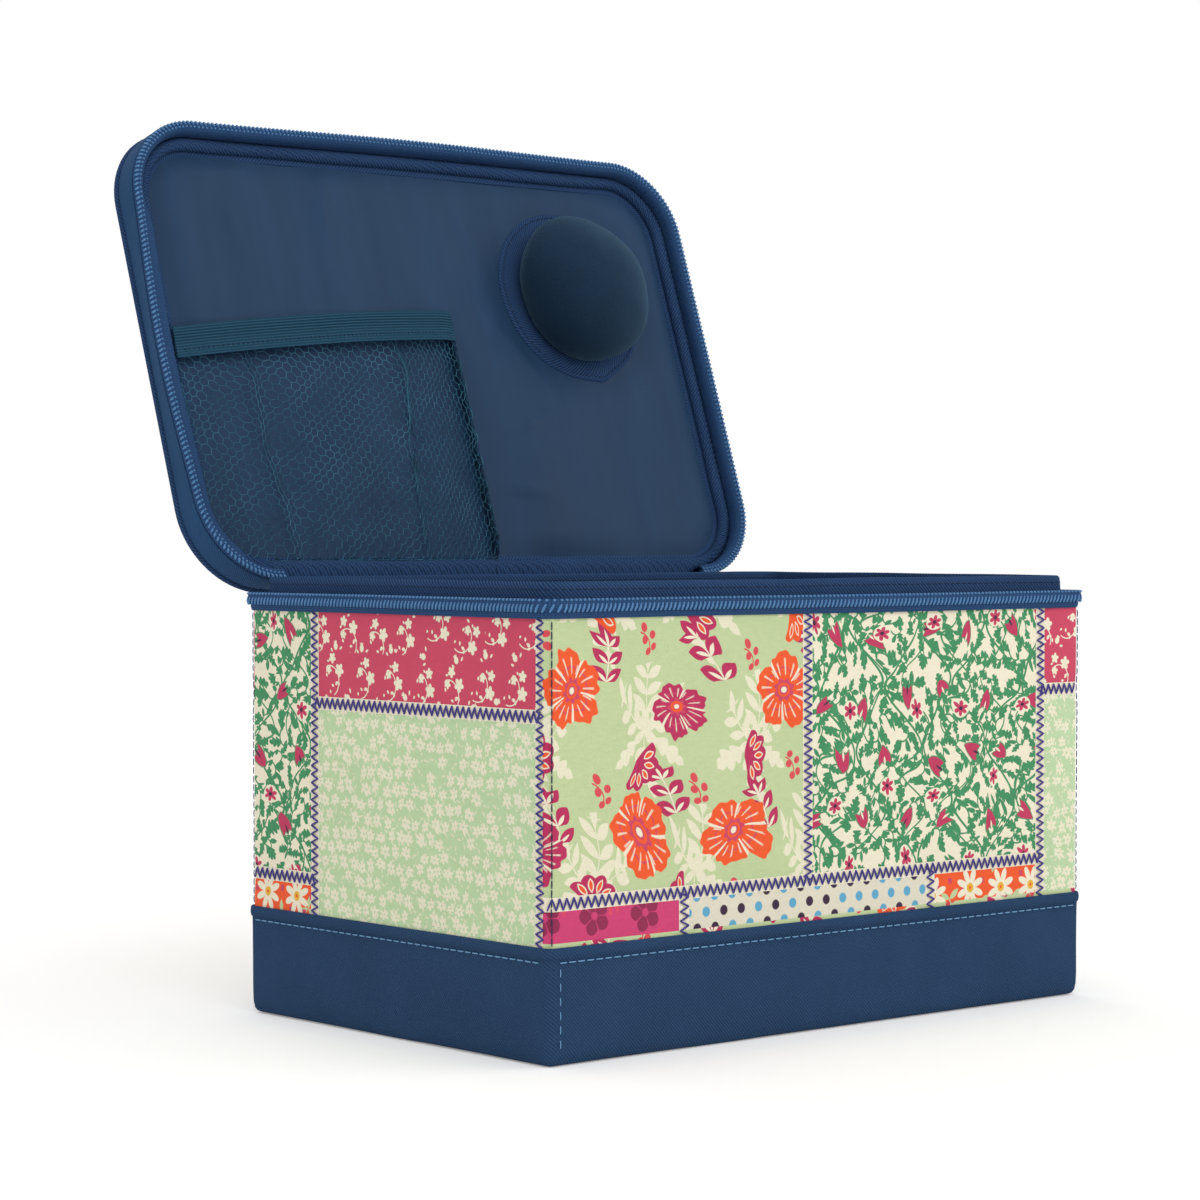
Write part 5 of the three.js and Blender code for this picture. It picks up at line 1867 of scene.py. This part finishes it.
def add_pincushion():
    centre = Vector((CUSHION.x, CUSHION.y, LID_FACE))
    ring_radius = (RING_HIGH.x - RING_LOW.x) / 2
    tip = math.radians(77)

    def shaped(walked, out, height):
        """The ring's foot runs out to a soft point where its binding ends."""
        turn = math.pi / 2 + walked / ring_radius
        off = (turn - tip + math.pi) % TURN - math.pi
        point = 2.4 * MM * math.exp(-abs(off) / 0.14) * smooth((out + 12 * MM) / (10 * MM))
        height += 0.18 * MM * lump(walked * 70, out * 90, seed=82)
        return out + point + 0.25 * MM * lump(walked * 30, seed=81), height

    circle = RoundRect(ring_radius, ring_radius, ring_radius)
    walk = [circle.length * i / 96 for i in range(97)]
    flange = [(0.2, 11.5), (0.3, 10.6), (-0.3, 10.0), (-1.3, 9.7), (-1.9, 9.95), (-3.0, 9.5), (-6.0, 9.2),
              (-9.0, 9.0), (-12.0, 9.1), (-16.0, 9.6), (-16.0, 11.2)]
    bm = bmesh.new()
    ring(bm, circle, walk, [(out * MM, depth * MM) for out, depth in flange], shaped)
    bmesh.ops.translate(bm, vec=centre, verts=bm.verts[:])
    make_piece("pincushion_ring_cloth", bm, ["collar_twill"], "lid", "lining", ("pincushion_ring",))

    def ring_place(a, b, lift):
        out, height = shaped(a, b, 9.72 * MM)
        flat, _ = circle.at(a, out)
        return Vector((flat.x, flat.y, height - lift)) + centre, Vector((0, 0, -1))

    bm = bmesh.new()
    dashes(bm, ring_place, (0, -1.75 * MM), (circle.length, -1.75 * MM), 1.9 * MM, 1.1 * MM, 0.4 * MM)
    make_piece("pincushion_stitches", bm, ["seam_thread"], "lid", "lining")

    dome_radius = (DOME_HIGH.x - DOME_LOW.x) / 2 + DOME_SPREAD
    top = DOME_LOW.z - LID_FACE + DOME_DROP
    foot = DOME_HIGH.z - LID_FACE
    rings = 18
    under, widest = 0.52, 0.36
    ball = RoundRect(dome_radius, dome_radius, dome_radius)
    section = []
    for i in range(rings + 1):
        turn = lerp(-under, math.pi / 2, i / rings)
        if turn > 0:
            level = lerp(widest, 1.0, math.sin(turn))
        else:
            level = lerp(widest, 0.0, math.sin(-turn) / math.sin(under))
        section.append((dome_radius * (max(0.001, math.cos(turn)) - 1), lerp(foot, top, level)))

    def stuffed(walked, out, height):
        turn = walked / dome_radius
        share = (foot - height) / (foot - top)
        lumpy = 1.3 * MM * lump(math.cos(turn) * 1.3, math.sin(turn) * 1.3, share * 2, seed=84)
        sag = 1.4 * MM * bump(share * 1.1) * math.cos(turn - math.radians(160))
        crown = smooth((dome_radius + out) / (6 * MM))
        return out + (lumpy + sag) * crown, height

    bm = bmesh.new()
    ring(bm, ball, [ball.length * i / 64 for i in range(65)], section, stuffed, closed=False)
    bmesh.ops.remove_doubles(bm, verts=bm.verts[:], dist=0.3 * MM)
    bmesh.ops.holes_fill(bm, edges=[edge for edge in bm.edges if edge.is_boundary], sides=0)
    bmesh.ops.translate(bm, vec=centre + Vector((0, DOME_SAG, 0)), verts=bm.verts[:])
    dome = make_piece("pincushion_velvet", bm, ["velvet_pile"], "lid", "velvet", ("pincushion_dome",),
                      sharp=80)


def bevelled_box(bm, low, high, round_off):
    """A box between two corners with softened edges."""
    middle = (Vector(low) + Vector(high)) / 2
    size = Vector(high) - Vector(low)
    matrix = Matrix.Translation(middle) @ Matrix.Diagonal((*size, 1))
    made = bmesh.ops.create_cube(bm, size=1, matrix=matrix)["verts"]
    edges = list({edge for corner in made for edge in corner.link_edges})
    bmesh.ops.bevel(bm, geom=edges, offset=round_off, offset_type="OFFSET", affect="EDGES", segments=2,
                    profile=0.5, material=-1)


def add_slider():
    """The slider's two plates, neck and crown, and the pull tab that swings on it."""
    low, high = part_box("zip_slider")
    pull_low, pull_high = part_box("pull_tab")
    high.z = COLLAR_TOP - 1.2 * MM
    pull_high.z = COLLAR_TOP - 1.4 * MM
    middle_y = (low.y + high.y) / 2
    plate_out = high.x - 4.2 * MM
    plate_in = plate_out - 1.6 * MM
    level = (pull_low.z + pull_high.z) / 2
    neck = (COIL_TOP + 0.5 * MM, COIL_TOP + 1.3 * MM)
    bm = bmesh.new()
    bevelled_box(bm, (plate_in, low.y, low.z), (plate_out, high.y, high.z), 0.5 * MM)
    bevelled_box(bm, (low.x, low.y + 0.5 * MM, neck[0]),
                 (plate_out - 0.4 * MM, high.y - 0.5 * MM, neck[1]), 0.2 * MM)
    bevelled_box(bm, (low.x, low.y, low.z), (low.x + 1.2 * MM, high.y, neck[1]), 0.35 * MM)
    for side in (-1, 1):
        foot = middle_y + side * 2.9 * MM
        bevelled_box(bm, (plate_out - 0.4 * MM, foot - 0.8 * MM, level - 1.7 * MM),
                     (high.x, foot + 0.8 * MM, level + 1.7 * MM), 0.4 * MM)
    bevelled_box(bm, (high.x - 1.6 * MM, middle_y - 3.7 * MM, level - 1.7 * MM),
                 (high.x, middle_y + 3.7 * MM, level + 1.7 * MM), 0.45 * MM)
    make_piece("zip_slider_body", bm, ["zip_enamel"], "zip_slider", "zip_metal", ("zip_slider",))

    bm = bmesh.new()
    x0, x1, y0, y1 = pull_low.x, pull_high.x, pull_low.y, pull_high.y
    z0, z1 = pull_low.z, pull_high.z
    eye = y0 + 8.2 * MM
    bevelled_box(bm, (x0, y0, z0), (x1, y0 + 1.4 * MM, z1), 0.35 * MM)
    for one, other in ((z0, z0 + 1.3 * MM), (z1 - 1.3 * MM, z1)):
        bevelled_box(bm, (x0, y0, one), (x1, eye + 1 * MM, other), 0.35 * MM)
    bevelled_box(bm, (x0, eye, z0), (x1, y1, z1), 0.45 * MM)
    bevelled_box(bm, (x0 - 0.15 * MM, y1 - 12 * MM, z0 + 1.1 * MM),
                 (x1 + 0.15 * MM, y1 - 2.5 * MM, z1 - 1.1 * MM), 0.3 * MM)
    make_piece("pull_tab_plate", bm, ["zip_enamel"], "pull_tab", "zip_metal", ("pull_tab",))


# The finish of the solids that show as they are
HIDDEN = {
    "hidden_twill": ["base_cover"],
    "grey_board": ["base_board", "front_board", "rear_board", "left_board_front_half", "left_board_rear_half",
                   "right_board_front_half", "right_board_rear_half", "lid_board"],
    "wadding": ["lid_foam"],
}


def add_hidden_layers():
    """Gives the boards, the wadding and the underside their finish."""
    for material, nodes in HIDDEN.items():
        for node in nodes:
            slots = frame["nodes"][node].data.materials
            slots.clear()
            slots.append(finish(material))


def add_stage():
    scene = bpy.context.scene
    scene.view_settings.view_transform = "Standard"

    camera = bpy.data.objects.new("photo_camera", bpy.data.cameras.new("photo_camera"))
    camera.data.sensor_width = 36
    camera.data.lens = CAMERA_LENS
    camera.location = CAMERA_PLACE
    camera.rotation_euler = (math.radians(90 - CAMERA_DOWN), 0, -math.radians(CAMERA_HEADING))
    camera.data.clip_start = 0.05
    scene.collection.objects.link(camera)
    scene.camera = camera

    bm = bmesh.new()
    bmesh.ops.create_grid(bm, x_segments=8, y_segments=8, size=FLOOR_HALF)
    floor = make_piece("floor", bm, ["pale_floor"], None, "board", outward=False)
    del floor["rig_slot"]
    floor["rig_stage"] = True

    world = bpy.data.worlds.new("studio")
    scene.world = world
    f = Finish(world)
    path = f.add("ShaderNodeLightPath")
    seen = path.either(f.also(path, "Is Transmission Ray"))
    plain, bright = [f.add("ShaderNodeBackground", None, {"Color": (1, 1, 1), "Strength": strength})
                     for strength in (WORLD_LIGHT, 1.0)]
    mix = f.add("ShaderNodeMixShader", None, {0: seen, 1: plain, 2: bright})
    f.end(mix, "ShaderNodeOutputWorld")

    for name, place, size, power in LAMPS:
        lamp = bpy.data.lights.new(name, "AREA")
        lamp.shape = "SQUARE"
        lamp.size = size
        lamp.energy = power
        holder = bpy.data.objects.new(name, lamp)
        holder.location = place
        holder.rotation_euler = (Vector(LAMP_AIM) - Vector(place)).to_track_quat("-Z", "Y").to_euler()
        scene.collection.objects.link(holder)


class SEWINGBOX_OT_stage(bpy.types.Operator):
    """Make the floor, the light and the camera"""

    bl_idname = "sewing_box.stage"
    bl_label = "Stage"
    bl_options = {"REGISTER", "UNDO"}

    def execute(self, context):
        add_stage()
        return {"FINISHED"}


class SEWINGBOX_OT_base(bpy.types.Operator):
    """Make the band round the foot of the walls"""

    bl_idname = "sewing_box.base"
    bl_label = "Base Band"
    bl_options = {"REGISTER", "UNDO"}

    def execute(self, context):
        add_base()
        return {"FINISHED"}


class SEWINGBOX_OT_panels(bpy.types.Operator):
    """Make the printed walls and their zigzag seams"""

    bl_idname = "sewing_box.panels"
    bl_label = "Printed Walls"
    bl_options = {"REGISTER", "UNDO"}

    def execute(self, context):
        add_print_panels()
        return {"FINISHED"}


class SEWINGBOX_OT_case_lining(bpy.types.Operator):
    """Make the lining and the loose base board"""

    bl_idname = "sewing_box.case_lining"
    bl_label = "Case Lining"
    bl_options = {"REGISTER", "UNDO"}

    def execute(self, context):
        add_case_lining()
        return {"FINISHED"}


class SEWINGBOX_OT_collar(bpy.types.Operator):
    """Make the collar above the zip"""

    bl_idname = "sewing_box.collar"
    bl_label = "Collar"
    bl_options = {"REGISTER", "UNDO"}

    def execute(self, context):
        add_collar()
        return {"FINISHED"}


class SEWINGBOX_OT_case_zip(bpy.types.Operator):
    """Make the case's half of the zip"""

    bl_idname = "sewing_box.case_zip"
    bl_label = "Case Zip"
    bl_options = {"REGISTER", "UNDO"}

    def execute(self, context):
        add_case_zip()
        return {"FINISHED"}


class SEWINGBOX_OT_hinge(bpy.types.Operator):
    """Make the cloth hinge"""

    bl_idname = "sewing_box.hinge"
    bl_label = "Hinge"
    bl_options = {"REGISTER", "UNDO"}

    def execute(self, context):
        add_hinge()
        return {"FINISHED"}


class SEWINGBOX_OT_lid_shell(bpy.types.Operator):
    """Make the lid's rim, piping and cover"""

    bl_idname = "sewing_box.lid_shell"
    bl_label = "Lid Shell"
    bl_options = {"REGISTER", "UNDO"}

    def execute(self, context):
        add_lid_shell()
        return {"FINISHED"}


class SEWINGBOX_OT_lid_zip(bpy.types.Operator):
    """Make the lid's half of the zip"""

    bl_idname = "sewing_box.lid_zip"
    bl_label = "Lid Zip"
    bl_options = {"REGISTER", "UNDO"}

    def execute(self, context):
        add_lid_zip()
        return {"FINISHED"}


class SEWINGBOX_OT_lid_lining(bpy.types.Operator):
    """Make the lid's lining and binding"""

    bl_idname = "sewing_box.lid_lining"
    bl_label = "Lid Lining"
    bl_options = {"REGISTER", "UNDO"}

    def execute(self, context):
        add_lid_lining()
        return {"FINISHED"}


class SEWINGBOX_OT_pocket(bpy.types.Operator):
    """Make the net pocket and its elastic"""

    bl_idname = "sewing_box.pocket"
    bl_label = "Net Pocket"
    bl_options = {"REGISTER", "UNDO"}

    def execute(self, context):
        add_pocket()
        return {"FINISHED"}


class SEWINGBOX_OT_pincushion(bpy.types.Operator):
    """Make the pincushion"""

    bl_idname = "sewing_box.pincushion"
    bl_label = "Pincushion"
    bl_options = {"REGISTER", "UNDO"}

    def execute(self, context):
        add_pincushion()
        return {"FINISHED"}


class SEWINGBOX_OT_slider(bpy.types.Operator):
    """Make the slider and its pull tab"""

    bl_idname = "sewing_box.slider"
    bl_label = "Slider"
    bl_options = {"REGISTER", "UNDO"}

    def execute(self, context):
        add_slider()
        return {"FINISHED"}


class SEWINGBOX_OT_hidden_layers(bpy.types.Operator):
    """Finish the boards and the wadding"""

    bl_idname = "sewing_box.hidden_layers"
    bl_label = "Hidden Layers"
    bl_options = {"REGISTER", "UNDO"}

    def execute(self, context):
        add_hidden_layers()
        return {"FINISHED"}


OPERATORS = [
    SEWINGBOX_OT_stage, SEWINGBOX_OT_base, SEWINGBOX_OT_panels, SEWINGBOX_OT_case_lining,
    SEWINGBOX_OT_collar, SEWINGBOX_OT_case_zip, SEWINGBOX_OT_hinge, SEWINGBOX_OT_lid_shell,
    SEWINGBOX_OT_lid_zip, SEWINGBOX_OT_lid_lining, SEWINGBOX_OT_pocket, SEWINGBOX_OT_pincushion,
    SEWINGBOX_OT_slider, SEWINGBOX_OT_hidden_layers,
]


class SEWINGBOX_PT_panel(bpy.types.Panel):
    """Lists the sewing box's sizes, colours and pieces."""

    bl_label = "Sewing Box"
    bl_idname = "SEWINGBOX_PT_panel"
    bl_space_type = "VIEW_3D"
    bl_region_type = "UI"
    bl_category = "Sewing Box"

    def draw(self, context):
        for group in (context.scene.sewing_box_sizes, context.scene.sewing_box_colours):
            column = self.layout.column()
            for name in group.__annotations__:
                column.prop(group, name)
        for maker in OPERATORS:
            self.layout.operator(maker.bl_idname)


CLASSES = [SewingBoxSizes, SewingBoxColours, *OPERATORS, SEWINGBOX_PT_panel]


def register():
    for each in CLASSES:
        bpy.utils.register_class(each)
    bpy.types.Scene.sewing_box_sizes = bpy.props.PointerProperty(type=SewingBoxSizes)
    bpy.types.Scene.sewing_box_colours = bpy.props.PointerProperty(type=SewingBoxColours)


def unregister():
    del bpy.types.Scene.sewing_box_colours
    del bpy.types.Scene.sewing_box_sizes
    for each in reversed(CLASSES):
        bpy.utils.unregister_class(each)


def main():
    register()
    for maker in OPERATORS:
        getattr(bpy.ops.sewing_box, maker.bl_idname.split(".")[1])()
    boxes = {"cad": CAD_BOX, "visual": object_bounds()}
    {name: [list(corner) for corner in box] for name, box in boxes.items()}


if __name__ == "__main__":
    main()
